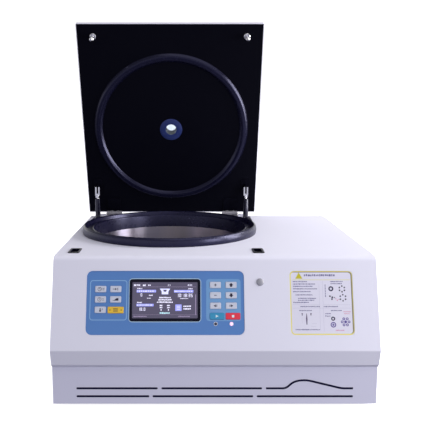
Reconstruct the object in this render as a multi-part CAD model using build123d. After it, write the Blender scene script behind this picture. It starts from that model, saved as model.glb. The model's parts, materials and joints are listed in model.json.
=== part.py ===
"""Benchtop refrigerated centrifuge with a swing-out rotor, modelled piece by piece.

Millimetres. +Z is up, the control panel faces -Y, and the origin is on the table under
the middle of the machine with its lid open. Depths are distances behind the front edge
of the deck (see back) and heights are measured from the deck (see above).
"""
from build123d import *
import os
from math import atan2, cos, degrees, hypot, radians, sin, sqrt

# ---------------------------------------------------------------- driving dimensions
BODY_W = 690.0            # width of the casing
DECK_DEPTH = 579.5        # flat top of the casing, front to back
FASCIA_OUT = 67.3         # how far the fascia leans out at its lower crease
FASCIA_DROP = 187.0       # height of the fascia
CHAMFER_IN = 10.1         # the chamfer under the crease runs back by this much
CHAMFER_DROP = 34.0
LIP_IN = 8.0              # slanted lip from the chamfer back to the skirt
LIP_DROP = 7.0
SKIRT_DROP = 83.2         # front skirt, from the step to its lower edge
SKIRT_SETBACK = 1.0       # the skirt stands behind the step
FOOT_H = 11.0
SHEET = 3.0               # thickness of the casing panels
GAP = 0.3                 # assembly gap between neighbouring panels
BEND_R = 14.0             # bend between deck and fascia
CREASE_R = 5.0

CHAMBER_X = -104.8        # rotor axis
CHAMBER_BACK = 318.2
GASKET_R = 224.0
GASKET_H = 20.8
DECK_HOLE_R = 214.0
BOWL_R = 190.0
BOWL_WALL = 1.5
BOWL_TOP = -20.0          # height of the bowl's lip
BOWL_FLOOR = -194.7

HINGE_BACK = 577.4        # lid hinge axis
HINGE_UP = 8.2
LID_OPEN = 70.6           # degrees, the pose in which everything is modelled
LID_W = 495.0
LID_REAR = -2.9           # rear and front edge, measured from the hinge axis
LID_FRONT = 554.0
LINER_UP = 13.2           # underside of the closed lid above the hinge axis
LID_T = 35.0
LID_EDGE = 13.0           # upright edge of the lid; above it the shell slopes in
LID_SLOPE_IN = 20.0       # by this much
LID_TOP_T = 3.0
HINGE_X = 172.0           # hinges, either side of the rotor axis
HOOK_X = 203.2            # latch hooks, either side of the rotor axis
LATCH_BACK = 57.1
STRUT_X = 216.0           # gas springs, either side of the rotor axis
STRUT_S = 83.0            # upper pivot, along the lid from the hinge axis
STRUT_N = -6.8            # and above the hinge axis when the lid is closed
ANCHOR_BACK = 540.0       # lower pivot
ANCHOR_UP = -165.0

TRUNNION_R = 95.0         # bucket pivots
TRUNNION_UP = -87.0
BUCKET_R = 40.0
SHAFT_R = 8.0
RUN_FIT = 0.05            # radial clearance of turning fits

PANEL_X = (-271.5, 61.5)  # blue control panel: left and right edge
PANEL_T = (31.4, 165.7)   # and its upper and lower edge, down the fascia
POCKET = 1.8              # the panel lies in a shallow pocket of the fascia

# ---------------------------------------------------------------- derived places
COVER_DROP = FASCIA_DROP + CHAMFER_DROP + LIP_DROP
DECK_Z = FOOT_H + SKIRT_DROP + COVER_DROP
LID_TOP = LINER_UP + LID_T
REAR_REACH = (HINGE_BACK + LID_TOP * sin(radians(LID_OPEN))
              - (LID_REAR + LID_SLOPE_IN) * cos(radians(LID_OPEN)))
DECK_FRONT_Y = -(REAR_REACH - FASCIA_OUT) / 2
LEAN = degrees(atan2(FASCIA_OUT, FASCIA_DROP))
STEP_BACK = CHAMFER_IN + LIP_IN - FASCIA_OUT
SKIRT_BACK = STEP_BACK + SKIRT_SETBACK
HALF_W = BODY_W / 2
PAN_T = 2.0
PAN_EDGE = 18.0
PAN_TOP = FOOT_H + PAN_T


def back(depth):
    """Y of a point that lies this far behind the front edge of the deck."""
    return DECK_FRONT_Y + depth


def above(height):
    """Z of a point that lies this far above the deck."""
    return DECK_Z + height


AXIS_Y = back(CHAMBER_BACK)
CHAMBER = Pos(CHAMBER_X, AXIS_Y, 0)
CHAMBER_DECK = Pos(CHAMBER_X, AXIS_Y, DECK_Z)
FASCIA = Plane(
    origin=(0, DECK_FRONT_Y, DECK_Z),
    x_dir=(1, 0, 0),
    z_dir=(0, -cos(radians(LEAN)), sin(radians(LEAN))),
)
HINGE_Y = back(HINGE_BACK)
HINGE_Z = above(HINGE_UP)
# Lid frame: local Y runs back from the front of the lid, local Z up, as if it were closed.
LID = Location((CHAMBER_X, HINGE_Y, HINGE_Z), (-LID_OPEN, 0, 0))


# ---------------------------------------------------------------- shape helpers
def block(x0, x1, y0, y1, z0, z1):
    """A box between six planes."""
    return Pos((x0 + x1) / 2, (y0 + y1) / 2, (z0 + z1) / 2) * Box(x1 - x0, y1 - y0, z1 - z0)


def tablet(width, height, thick, radius):
    """A rounded plate standing on the XY plane."""
    return extrude(RectangleRounded(width, height, radius), thick)


def on_fascia(x, t, n, shape):
    """Place a shape on the fascia: x across, t down the slope, n out of the surface."""
    return FASCIA * Pos(x, -t, n) * shape


def on_panel(x, t, n, shape):
    """Place a shape on the control panel, n out of the pocket in which it lies."""
    return on_fascia(x, t, n - POCKET, shape)


def on_lid(x, s, n, shape):
    """Place a shape on the lid: x across, s from the hinge axis, n above it when closed."""
    return LID * Pos(x, -s, n) * shape


def hipped(width, length, edge, rise, inset, radius):
    """A rounded plate with an upright edge, above which it slopes in on all sides."""
    foot = Pos(0, 0, edge) * RectangleRounded(width, length, radius)
    crest = Pos(0, 0, edge + rise) * RectangleRounded(width - 2 * inset, length - 2 * inset, radius)
    return tablet(width, length, edge, radius) + loft([foot, crest], ruled=True)


def spun(points):
    """Turn a closed outline of (radius, height) points about the Z axis."""
    outline = Polyline(*[(r, 0, z) for r, z in points], close=True)
    return revolve(make_face(outline), Axis.Z)


def rod(radius, start, end):
    """A round bar between two points."""
    a = Vector(*start)
    b = Vector(*end)
    return extrude(Plane(origin=a, z_dir=b - a) * Circle(radius), (b - a).length)


# ---------------------------------------------------------------- casing
def side_outline(inset):
    """Side view of the casing, open below the step, shrunk by an inset."""
    toe_y = STEP_BACK + LIP_IN
    toe_z = -COVER_DROP - LIP_DROP
    points = [
        (DECK_DEPTH + 40, 0),
        (0, 0),
        (-FASCIA_OUT, -FASCIA_DROP),
        (CHAMFER_IN - FASCIA_OUT, -FASCIA_DROP - CHAMFER_DROP),
        (toe_y, toe_z),
        (toe_y, -400),
        (DECK_DEPTH + 40, -400),
    ]
    outline = FilletPolyline(
        *[(back(y), above(z)) for y, z in points],
        radius=[0.01, BEND_R, CREASE_R, 1.5, 0.01, 0.01, 0.01],
        close=True,
    )
    face = make_face(outline)
    if inset:
        face = offset(face, -inset, kind=Kind.INTERSECTION)
    return face


def casing_slab(inset, x0, x1):
    """The side view, extruded across from x0 to x1 and ended at the rear edge."""
    face = Plane.YZ * side_outline(inset)
    slab = Pos(x0, 0, 0) * extrude(face, x1 - x0)
    return slab & block(x0, x1, back(-100), back(DECK_DEPTH), above(-320), above(1))


SLOT_STRUT = (30.0, 94.0)       # deck slots for the gas springs: across, and front to back
SLOT_STRUT_BACK = 529.0
SLOT_LATCH = (21.0, 45.0)
# Keys of the panel: centre across and down the fascia, then width and height.
KEYS = {"menu": (-209.6, 113.9, 33.6, 13.6), "start": (4.0, 126.8, 30.2, 13.6),
        "stop": (37.7, 126.8, 30.6, 13.6)}
KEY_SIZE = (23.1, 13.3)
for name, t in (("speed", 70.0), ("time", 91.7), ("temperature", 113.5)):
    KEYS[name] = (-242.1, t, *KEY_SIZE)
for name, t in (("force", 70.0), ("ramp", 91.7)):
    KEYS[name] = (-210.0, t, *KEY_SIZE)
for name, t in (("plus", 61.3), ("minus", 83.0), ("left", 105.0)):
    KEYS[name] = (1.0, t, *KEY_SIZE)
for name, t in (("up", 61.3), ("down", 83.0), ("right", 105.0)):
    KEYS[name] = (34.3, t, *KEY_SIZE)
LAMPS = ((1.0, 142.8), (34.3, 142.8))
LAMP_R = 3.0
DISPLAY = (-105.7, 93.3, 150.2, 89.2)       # x, t, width, height of the display window
OVERLAY_T = 1.0
PLATE_X = (159.0, 292.0)  # pocket of the instruction plate
PLATE_POCKET = 1.0
PLUG = (96.0, 55.2)
PLUG_R = 6.0


def fascia_cut(x0, x1, t0, t1):
    """A tool that cuts a rounded window through the fascia sheet."""
    return on_fascia((x0 + x1) / 2, (t0 + t1) / 2, -20, tablet(x1 - x0, t1 - t0, 30, 3))


def top_cover():
    """Deck, fascia and chamfer, folded from one sheet."""
    shell = casing_slab(0, -HALF_W, HALF_W) - casing_slab(SHEET, -HALF_W - 1, HALF_W + 1)
    shell = shell & block(-HALF_W, HALF_W, back(-100), back(DECK_DEPTH),
                          above(-COVER_DROP), above(1))
    cuts = [CHAMBER_DECK * Cylinder(DECK_HOLE_R, 20)]
    for side in (-1, 1):
        cuts.append(Pos(CHAMBER_X + side * STRUT_X, back(SLOT_STRUT_BACK), above(-10))
                    * tablet(*SLOT_STRUT, 20, 6))
        cuts.append(Pos(CHAMBER_X + side * HOOK_X, back(LATCH_BACK), above(-10))
                    * tablet(*SLOT_LATCH, 20, 4))
    mid_t = (PANEL_T[0] + PANEL_T[1]) / 2
    high = PANEL_T[1] - PANEL_T[0]
    for edge, pocket, radius in ((PANEL_X, POCKET, 12.5), (PLATE_X, PLATE_POCKET, 9)):
        cuts.append(on_fascia((edge[0] + edge[1]) / 2, mid_t, -pocket, tablet(
            edge[1] - edge[0] + 0.8, high + 0.8, 8, radius)))
    cuts.append(fascia_cut(-262, -186, 58, 127))
    cuts.append(fascia_cut(-177, -34.5, 53.5, 133))
    cuts.append(fascia_cut(-15, 57, 51, 137))
    for x, t in LAMPS:
        cuts.append(on_fascia(x, t, 0, Cylinder(LAMP_R + 0.4, 12)))
    cuts.append(on_fascia(*PLUG, 0, Cylinder(PLUG_R + 0.3, 12)))
    for cut in cuts:
        shell = shell - cut
    return shell


SIDE_LOUVRES = 10
SIDE_SCREWS = ((-20, 38), (280, 38), (556, 38), (300, 300), (556, 300))
REAR_SCREWS = [(x, z) for x in (-326, -110, 110, 326) for z in (38, 306)]


def side_panel(side):
    """Flat side wall under the folded cover, with cooling slots."""
    x_out = side * HALF_W
    x_in = x_out - side * SHEET
    panel = casing_slab(SHEET + GAP, min(x_in, x_out), max(x_in, x_out))
    keep = block(-HALF_W, HALF_W, back(SKIRT_BACK) + SHEET + GAP, back(DECK_DEPTH),
                 FOOT_H, above(0))
    panel = panel & (keep + block(-HALF_W, HALF_W, back(-100), back(DECK_DEPTH),
                                  above(-COVER_DROP + GAP), above(0)))
    panel = panel + block(min(x_in, x_out), max(x_in, x_out), back(SKIRT_BACK) + SHEET + GAP,
                          back(SKIRT_BACK) + 20, FOOT_H, above(-COVER_DROP) - GAP)
    for column in range(3):
        for row in range(SIDE_LOUVRES):
            y = back(330 + 84 * column)
            z = 62 + 11 * row
            slot = Rot(0, 90, 0) * extrude(SlotOverall(70, 3.2, rotation=90), 12)
            panel = panel - Pos(x_out - 6, y, z) * slot
    for y, z in SIDE_SCREWS:
        panel = panel - Pos(x_out, back(y), z) * Rot(0, 90, 0) * Cylinder(2.2, 12)
    return panel


LOWER_SLOTS = ((-294, -140), (-132, 81.5), (90, 294))
UPPER_SLOTS = ((-294, -122), (-113, 100))
TRIM_SLOT_H = 3.4
UPPER_ROW = 34.8
LOWER_ROW = 17.0
HUMP = 18.0


def front_skirt():
    """Lower front panel with its two rows of narrow trim slots."""
    top = above(-COVER_DROP) - 0.5
    y0 = back(SKIRT_BACK)
    panel = block(-HALF_W, HALF_W, y0, y0 + SHEET, FOOT_H, top)
    lip = block(-HALF_W + SHEET + 1, HALF_W - SHEET - 1, y0 + SHEET, y0 + 14, top - 2, top)
    cuts = []
    for z, row in ((LOWER_ROW, LOWER_SLOTS), (UPPER_ROW, UPPER_SLOTS)):
        for x0, x1 in row:
            slot = Pos((x0 + x1) / 2, z) * SlotOverall(x1 - x0, TRIM_SLOT_H)
            cuts.append(slot)
    wave_start = Line((109, UPPER_ROW), (144, UPPER_ROW))
    rise = Spline((144, UPPER_ROW), (162, UPPER_ROW + 0.55 * HUMP), (190, UPPER_ROW + HUMP),
                  tangents=((1, 0), (1, 0)))
    crest = Spline((190, UPPER_ROW + HUMP), (214, UPPER_ROW + 0.77 * HUMP),
                   tangents=((1, 0), (1, -0.25)))
    fall = Line((214, UPPER_ROW + 0.77 * HUMP), (256, UPPER_ROW + 0.19 * HUMP))
    run_out = Spline((256, UPPER_ROW + 0.19 * HUMP), (276, UPPER_ROW),
                     tangents=((1, -0.25), (1, 0)))
    wave_end = Line((276, UPPER_ROW), (294, UPPER_ROW))
    wave = wave_start + rise + crest + fall + run_out + wave_end
    cuts.append(trace(wave, TRIM_SLOT_H))
    front = Plane(origin=(0, y0 - 1, FOOT_H), x_dir=(1, 0, 0), z_dir=(0, -1, 0))
    for cut in cuts:
        panel = panel - extrude(front * cut, -(SHEET + 2))
    return panel + lip


FAN_X = 240.0
FAN_Z = 136.0
FAN_R = 74.0
INLET_X = -262.0
INLET_Z = 92.0


def rear_panel():
    """Flat back wall with the condenser grille and the mains inlet opening."""
    y0 = back(DECK_DEPTH) - SHEET
    panel = block(-HALF_W + SHEET + GAP, HALF_W - SHEET - GAP, y0, y0 + SHEET,
                  FOOT_H, above(-SHEET - GAP))
    grille = Pos(FAN_X, y0, FAN_Z) * Rot(90, 0, 0)
    for row in range(-7, 8):
        half = sqrt(FAN_R ** 2 - (row * 9.6) ** 2)
        slot = extrude(SlotOverall(2 * half, 5.2), 12, both=True)
        panel = panel - grille * Pos(0, row * 9.6, 0) * slot
    panel = panel - grille * Pos(INLET_X - FAN_X, INLET_Z - FAN_Z, -12) * tablet(34, 66, 24, 2)
    for x, z in REAR_SCREWS:
        panel = panel - Pos(x, y0, z) * Rot(90, 0, 0) * Cylinder(2.2, 12)
    return panel


def base_pan():
    """Floor tray that carries everything, with an upstand along its edge."""
    x1 = HALF_W - SHEET - GAP
    y0 = back(SKIRT_BACK) + SHEET + GAP
    y1 = back(DECK_DEPTH) - SHEET - GAP
    tray = block(-x1, x1, y0, y1, FOOT_H, FOOT_H + PAN_EDGE)
    tray = tray - block(-x1 + PAN_T, x1 - PAN_T, y0 + PAN_T, y1 - PAN_T, PAN_TOP, FOOT_H + 30)
    for row in range(8):
        slot = extrude(SlotOverall(90, 6), 8, both=True)
        tray = tray - Pos(240, back(150 + 14 * row), FOOT_H) * slot
    return tray


FEET = [(x, back(y)) for x in (-275, 275) for y in (38, 500)]


def feet():
    """Four rubber feet with a recess for the screw."""
    profile = [(5, 4), (5, 0), (18, 0), (20, 2), (22, FOOT_H), (3, FOOT_H), (3, 4)]
    return [Pos(x, y, 0) * spun(profile) for x, y in FEET]


SCREW_HEAD_R = 4.2


def screw(length):
    """Pan-head screw: its head is above the XY plane and its shank below."""
    head = Cylinder(SCREW_HEAD_R, 2.2, align=(Align.CENTER, Align.CENTER, Align.MIN))
    head = fillet(head.edges().group_by(Axis.Z)[-1], 1.2)
    head = head - Pos(0, 0, 2.2) * (Box(5, 1.1, 2.4) + Box(1.1, 5, 2.4))
    shank = Cylinder(1.9, length, align=(Align.CENTER, Align.CENTER, Align.MAX))
    return head + shank


def casing_screws():
    """Pan-head screws of the side and rear walls."""
    screws = []
    for side in (-1, 1):
        for y, z in SIDE_SCREWS:
            screws.append(Pos(side * HALF_W, back(y), z) * Rot(0, side * 90, 0) * screw(6))
    for x, z in REAR_SCREWS:
        screws.append(Pos(x, back(DECK_DEPTH), z) * Rot(-90, 0, 0) * screw(6))
    return screws


# ---------------------------------------------------------------- chamber
GUARD_R = 222.0
FRAME_T = 2.0
PARTITION_X = 126.0
CHEEK_GAP = 5.0
CHEEK_T = 3.0
PIN_R = 3.0


def inner_frame():
    """Guard ring round the bowl, bay partition, rear rail and gas spring anchors."""
    guard = spun([(GUARD_R - 5, PAN_TOP), (GUARD_R, PAN_TOP), (GUARD_R, above(-9)),
                  (GUARD_R - 5, above(-9))])
    frame = CHAMBER * guard
    inside_front = back(STEP_BACK) + 60
    frame = frame + block(PARTITION_X, PARTITION_X + FRAME_T, inside_front,
                          back(DECK_DEPTH) - 8, PAN_TOP, above(-6))
    frame = frame + block(PARTITION_X - 12, PARTITION_X, AXIS_Y - 2, AXIS_Y + 2,
                          PAN_TOP, above(-40))
    anchor_z = above(ANCHOR_UP)
    rail_y = back(ANCHOR_BACK) + 26
    frame = frame + block(CHAMBER_X - STRUT_X - 8, PARTITION_X, rail_y, rail_y + 3,
                          anchor_z - 20, anchor_z + 20)
    for side in (-1, 1):
        x = CHAMBER_X + side * STRUT_X
        for hand in (-1, 1):
            x0 = x + hand * CHEEK_GAP
            x1 = x + hand * (CHEEK_GAP + CHEEK_T)
            cheek = block(min(x0, x1), max(x0, x1), rail_y - 52, rail_y, PAN_TOP, anchor_z + 15)
            window = block(min(x0, x1) - 1, max(x0, x1) + 1,
                           back(ANCHOR_BACK) - 13, back(ANCHOR_BACK) + 6,
                           anchor_z - 6, anchor_z + 11)
            frame = frame + (cheek - window)
    return frame


def chamber_bowl():
    """Drawn stainless bowl with a flat lip and a collar round the drive shaft."""
    height = BOWL_TOP - BOWL_FLOOR
    outer = Cylinder(BOWL_R + BOWL_WALL, height + BOWL_WALL,
                     align=(Align.CENTER, Align.CENTER, Align.MIN))
    outer = fillet(outer.edges().group_by(Axis.Z)[0], 26 + BOWL_WALL)
    inner = Pos(0, 0, BOWL_WALL) * Cylinder(BOWL_R, height + 5,
                                            align=(Align.CENTER, Align.CENTER, Align.MIN))
    inner = fillet(inner.edges().group_by(Axis.Z)[0], 26)
    bowl = outer - inner
    top = height + BOWL_WALL
    bowl = bowl + spun([(BOWL_R, top - BOWL_WALL), (GUARD_R - 8, top - BOWL_WALL),
                        (GUARD_R - 8, top), (BOWL_R, top)])
    collar = spun([(28, 0), (30, 0), (30, 12), (28, 12)])
    bowl = bowl - Cylinder(29, 20) + collar
    return CHAMBER * Pos(0, 0, above(BOWL_FLOOR) - BOWL_WALL) * bowl


COIL_R = BOWL_R + BOWL_WALL + 4.8
COIL_TUBE_R = 4.0


def evaporator_coil():
    """Copper tube laid round the bowl in five turns joined by short risers."""
    pitch = 22.0
    z0 = above(-168)
    coil = None
    for turn in range(5):
        ring = CHAMBER * Pos(0, 0, z0 + pitch * turn) * Torus(COIL_R, COIL_TUBE_R)
        coil = ring if coil is None else coil + ring
    y = AXIS_Y + COIL_R
    riser = rod(COIL_TUBE_R - 0.4, (CHAMBER_X, y, z0), (CHAMBER_X, y, z0 + 4 * pitch))
    return coil + riser


def bowl_insulation():
    """Foam jacket round the coil and under the bowl."""
    floor = above(BOWL_FLOOR) - BOWL_WALL - 0.3
    top = above(BOWL_TOP) - BOWL_WALL - 0.3
    inner = COIL_R + COIL_TUBE_R + 0.4
    outer = GUARD_R - 5.4
    return CHAMBER * spun([(36, floor - 14), (outer, floor - 14), (outer, top), (inner, top),
                           (inner, floor), (36, floor)])


def chamber_gasket():
    """Black rubber ring on the deck: outer bead, groove, inner lip and tapered throat."""
    seat = 0.2
    bead = GASKET_H
    outline = (
        Line((206, seat), (GASKET_R - 1, seat))
        + ThreePointArc((GASKET_R - 1, seat), (GASKET_R, 7), (GASKET_R - 0.8, 14))
        + ThreePointArc((GASKET_R - 0.8, 14), (GASKET_R - 3.0, bead - 1.6), (218.4, bead))
        + ThreePointArc((218.4, bead), (216.0, bead - 1.3), (214.6, bead - 4.2))
        + Line((214.6, bead - 4.2), (212, 10.2))
        + Line((212, 10.2), (199.5, 10.2))
        + ThreePointArc((199.5, 10.2), (196.2, 13.4), (193.2, 10.4))
        + Line((193.2, 10.4), (BOWL_R + 0.2, BOWL_TOP + 0.2))
        + Line((BOWL_R + 0.2, BOWL_TOP + 0.2), (BOWL_R + 8, BOWL_TOP + 0.2))
        + Line((BOWL_R + 8, BOWL_TOP + 0.2), (206, -14))
        + Line((206, -14), (206, seat))
    )
    return CHAMBER_DECK * revolve(make_face(Plane.XZ * outline), Axis.Z)


# ---------------------------------------------------------------- drive and rotor
MOTOR_R = 70.0
MOTOR_FLANGE_R = 104.0
DAMPER_R = 90.0
FLANGE_Z = 50.0


def motor_body():
    """Vertical induction motor with a mounting flange, ribs and a shaft gland."""
    top = above(BOWL_FLOOR) - 22
    body = spun([(0, 26), (MOTOR_R - 8, 26), (MOTOR_R, 34), (MOTOR_R, top - 10),
                 (MOTOR_R - 10, top), (27, top), (27, top + 18), (24, top + 30), (0, top + 30)])
    body = body + Pos(0, 0, FLANGE_Z) * Cylinder(MOTOR_FLANGE_R, 8,
                                                 align=(Align.CENTER, Align.CENTER, Align.MIN))
    rib = block(MOTOR_R - 2, MOTOR_R + 4, -1.5, 1.5, FLANGE_Z + 6, top - 14)
    for turn in range(18):
        body = body + Rot(0, 0, 20 * turn) * rib
    bore = Pos(0, 0, 36) * Cylinder(SHAFT_R + RUN_FIT, 200,
                                    align=(Align.CENTER, Align.CENTER, Align.MIN))
    return CHAMBER * (body - bore)


def motor_dampers():
    """Three rubber mounts between the floor tray and the motor flange."""
    profile = [(0, PAN_TOP), (14, PAN_TOP), (14, 24), (11, 33), (14, 42), (14, FLANGE_Z),
               (0, FLANGE_Z)]
    return [CHAMBER * Rot(0, 0, 30 + 120 * k) * Pos(DAMPER_R, 0, 0) * spun(profile)
            for k in range(3)]


TRUNNION_Z = above(TRUNNION_UP)
HUB_R = 30.0
PIN_INNER = BUCKET_R + 1.2
LUG_FACE = 48.6


def drive_shaft():
    """Motor shaft with a threaded nose that carries the rotor."""
    shaft = rod(SHAFT_R, (CHAMBER_X, AXIS_Y, 40), (CHAMBER_X, AXIS_Y, TRUNNION_Z + 24))
    nose = rod(5, (CHAMBER_X, AXIS_Y, TRUNNION_Z + 24), (CHAMBER_X, AXIS_Y, TRUNNION_Z + 34))
    return shaft + nose


def rotor_head():
    """Four-armed rotor head with trunnion pins between neighbouring arms."""
    hub = spun([(SHAFT_R + RUN_FIT, -26), (24, -26), (HUB_R, -18), (HUB_R, 14), (24, 20),
                (SHAFT_R + RUN_FIT, 20)])
    inner = 84.0
    tip = 104.0
    arm_face = make_face(Polyline(
        (22, 8), (inner, LUG_FACE), (tip, LUG_FACE), (tip, 60), (60, tip),
        (LUG_FACE, tip), (LUG_FACE, inner), (8, 22), close=True))
    arm = Pos(0, 0, -13) * extrude(arm_face, 26)
    arm = arm - Pos(112, 112, 0) * Cylinder(46, 40)
    pins = (rod(5, (TRUNNION_R, LUG_FACE + 5, 0), (TRUNNION_R, PIN_INNER, 0))
            + rod(5, (LUG_FACE + 5, TRUNNION_R, 0), (PIN_INNER, TRUNNION_R, 0)))
    head = hub
    for turn in range(4):
        head = head + Rot(0, 0, 90 * turn) * (arm + pins - Cylinder(HUB_R - 4, 60))
    return CHAMBER * Pos(0, 0, TRUNNION_Z) * head


def rotor_nut():
    """Knurled locking nut on the shaft nose."""
    nut = Pos(0, 0, 20.2) * Cylinder(15, 18, align=(Align.CENTER, Align.CENTER, Align.MIN))
    nut = fillet(nut.edges().group_by(Axis.Z)[-1], 3)
    groove = Pos(15.6, 0, 20) * Cylinder(1.6, 60)
    for turn in range(12):
        nut = nut - Rot(0, 0, 30 * turn) * groove
    bore = Pos(0, 0, 10) * Cylinder(SHAFT_R + 0.1, 14.2,
                                    align=(Align.CENTER, Align.CENTER, Align.MIN))
    thread = Pos(0, 0, 10) * Cylinder(5.1, 24.2, align=(Align.CENTER, Align.CENTER, Align.MIN))
    return CHAMBER * Pos(0, 0, TRUNNION_Z) * (nut - bore - thread)


BUCKET_TOP = 20.0
BUCKET_REACH = 84.0
BUCKET_WALL = 3.0


def bucket(index):
    """Swing-out bucket hanging from its two trunnion bosses."""
    height = BUCKET_TOP + BUCKET_REACH
    cup = Cylinder(BUCKET_R - 1.5, height, align=(Align.CENTER, Align.CENTER, Align.MIN))
    cup = fillet(cup.edges().group_by(Axis.Z)[0], 12)
    rim = Pos(0, 0, height - 7) * Cylinder(BUCKET_R, 7,
                                           align=(Align.CENTER, Align.CENTER, Align.MIN))
    cup = Pos(0, 0, -BUCKET_REACH) * (cup + fillet(rim.edges(), 1.2))
    boss = Rot(90, 0, 0) * Cylinder(10, 2 * (LUG_FACE - 1.0))
    cavity = Cylinder(BUCKET_R - 1.5 - BUCKET_WALL, height + 10,
                      align=(Align.CENTER, Align.CENTER, Align.MIN))
    cavity = fillet(cavity.edges().group_by(Axis.Z)[0], 9)
    cavity = Pos(0, 0, -BUCKET_REACH + BUCKET_WALL) * cavity
    cup = cup + boss - cavity
    blind = BUCKET_R + 0.6
    for side in (-1, 1):
        cup = cup - rod(5 + RUN_FIT, (0, side * blind, 0), (0, side * (LUG_FACE + 5), 0))
    place = CHAMBER * Pos(0, 0, TRUNNION_Z) * Rot(0, 0, 90 * index) * Pos(TRUNNION_R, 0, 0)
    return place * cup


# ---------------------------------------------------------------- refrigeration
COMPRESSOR_X = 236.0
COMPRESSOR_BACK = 200.0


def compressor():
    """Hermetic compressor can on a foot plate, with its pipe stubs."""
    can = spun([(0, 34), (50, 34), (60, 46), (62, 60), (62, 130), (56, 152), (38, 166), (0, 170)])
    foot_plate = Pos(0, 0, 27) * Box(140, 120, 3)
    saddle = Pos(0, 0, 32) * Cylinder(46, 8)
    unit = can + foot_plate + saddle
    for x in (-58, 58):
        for y in (-48, 48):
            unit = unit + Pos(x, y, (PAN_TOP + 26) / 2) * Cylinder(9, 26 - PAN_TOP)
    unit = unit + rod(4, (56, 0, 110), (76, 0, 110)) + rod(4, (-20, 56, 120), (-20, 76, 120))
    return Pos(COMPRESSOR_X, back(COMPRESSOR_BACK), 0) * unit


CONDENSER_BACK = 505.0
SHROUD_BACK = 541.0


def condenser():
    """Finned condenser block with hairpin tubes, fan shroud, fan motor and its spindle."""
    half = 88.0
    z0 = PAN_TOP + 6
    z1 = FAN_Z + half
    fins = block(FAN_X - half, FAN_X + half, back(CONDENSER_BACK), back(SHROUD_BACK) - 2, z0, z1)
    for row in range(9):
        z = z0 + 14 + 22 * row
        notch = block(FAN_X - half - 1, FAN_X + half + 1, back(CONDENSER_BACK) - 1,
                      back(CONDENSER_BACK) + 6, z - 4, z + 4)
        fins = fins - notch
    plate = block(FAN_X - half, FAN_X + half, back(SHROUD_BACK) - 2, back(SHROUD_BACK), z0, z1)
    opening = Pos(FAN_X, back(SHROUD_BACK), FAN_Z) * Rot(90, 0, 0) * Cylinder(FAN_R + 2, 4.1)
    collar = Pos(FAN_X, back(SHROUD_BACK + 14), FAN_Z) * Rot(90, 0, 0) * (
        Cylinder(FAN_R + 5, 28) - Cylinder(FAN_R + 2.5, 30))
    motor = rod(21, (FAN_X, back(SHROUD_BACK) - 3, FAN_Z), (FAN_X, back(SHROUD_BACK + 7), FAN_Z))
    spindle = rod(4, (FAN_X, back(SHROUD_BACK + 6), FAN_Z), (FAN_X, back(SHROUD_BACK + 24), FAN_Z))
    legs = block(FAN_X - half, FAN_X - half + 8, back(CONDENSER_BACK), back(SHROUD_BACK),
                 PAN_TOP, z0)
    legs = legs + Pos(2 * half - 8, 0, 0) * legs
    return (fins + (plate - opening) + collar + motor + spindle) + legs


def fan_blades():
    """Axial fan: hub and seven pitched blades."""
    hub = Cylinder(20, 14) - Cylinder(4 + RUN_FIT, 20)
    blade = Pos(44, 0, 0) * Rot(28, 0, 0) * Box(54, 30, 1.6)
    blade = blade & Cylinder(FAN_R - 1, 18)
    fan = hub
    for turn in range(7):
        fan = fan + Rot(0, 0, turn * 360 / 7) * blade - Cylinder(4 + RUN_FIT, 30)
    return Pos(FAN_X, back(SHROUD_BACK + 17), FAN_Z) * Rot(90, 0, 0) * fan


def inverter_unit():
    """Motor drive: finned heat sink with its electronics cover."""
    x0 = 160.0
    x1 = 312.0
    y0 = back(10)
    y1 = back(100)
    unit = block(x0, x1, y0, y1, PAN_TOP, 84)
    for fin in range(12):
        x = x0 + 4 + 12.6 * fin
        unit = unit + block(x, x + 3, y0 + 6, y1 - 6, 84, 112)
    return unit


# ---------------------------------------------------------------- control panel
KEY_GAP = 0.35
KEY_RISE = 0.9


def keypad_overlay():
    """Blue membrane panel with openings for keys, lamps and display."""
    width = PANEL_X[1] - PANEL_X[0]
    height = PANEL_T[1] - PANEL_T[0]
    x = (PANEL_X[0] + PANEL_X[1]) / 2
    t = (PANEL_T[0] + PANEL_T[1]) / 2
    sheet = on_panel(x, t, 0, tablet(width, height, OVERLAY_T, 12))
    for kx, kt, kw, kh in KEYS.values():
        sheet = sheet - on_panel(kx, kt, -2, tablet(kw + 2 * KEY_GAP, kh + 2 * KEY_GAP, 6, 2.2))
    dx, dt, dw, dh = DISPLAY
    sheet = sheet - on_panel(dx, dt, -2, tablet(dw, dh, 6, 6))
    for lx, lt in LAMPS:
        sheet = sheet - on_panel(lx, lt, 0, Cylinder(LAMP_R + 0.3, 6))
    return sheet


def key(name):
    """Key cap with a dished face and a retaining flange behind the panel."""
    x, t, width, height = KEYS[name]
    cap = Pos(0, 0, -0.5) * tablet(width, height, 0.5 + OVERLAY_T + KEY_RISE, 2)
    cap = chamfer(cap.edges().group_by(Axis.Z)[-1], 0.6)
    flange = Pos(0, 0, -1.6) * tablet(width + 2, height + 2, 1.2, 2.5)
    stem = Pos(0, 0, -3.6) * tablet(6, 6, 2.2, 1)
    return on_panel(x, t, 0, cap + flange + stem)


BOARD_N = -9.0


def display_board():
    """Circuit board with the display module, key switches and standoffs."""
    board = on_panel(-102, 94, BOARD_N, tablet(322, 96, 1.6, 2))
    dx, dt, dw, dh = DISPLAY
    module = on_panel(dx, dt, BOARD_N + 1, tablet(dw - 10, dh - 11.5, -BOARD_N - 1.3, 2))
    board = board + module
    for kx, kt, _, _ in KEYS.values():
        board = board + on_panel(kx, kt, BOARD_N + 1, tablet(6, 6, 3.4, 1))
    for x in (-224, 12):
        board = board + on_panel(x, 50.5, BOARD_N + 1, Cylinder(
            2.5, POCKET - BOARD_N - 1 - SHEET, align=(Align.CENTER, Align.CENTER, Align.MIN)))
    return board


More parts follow.
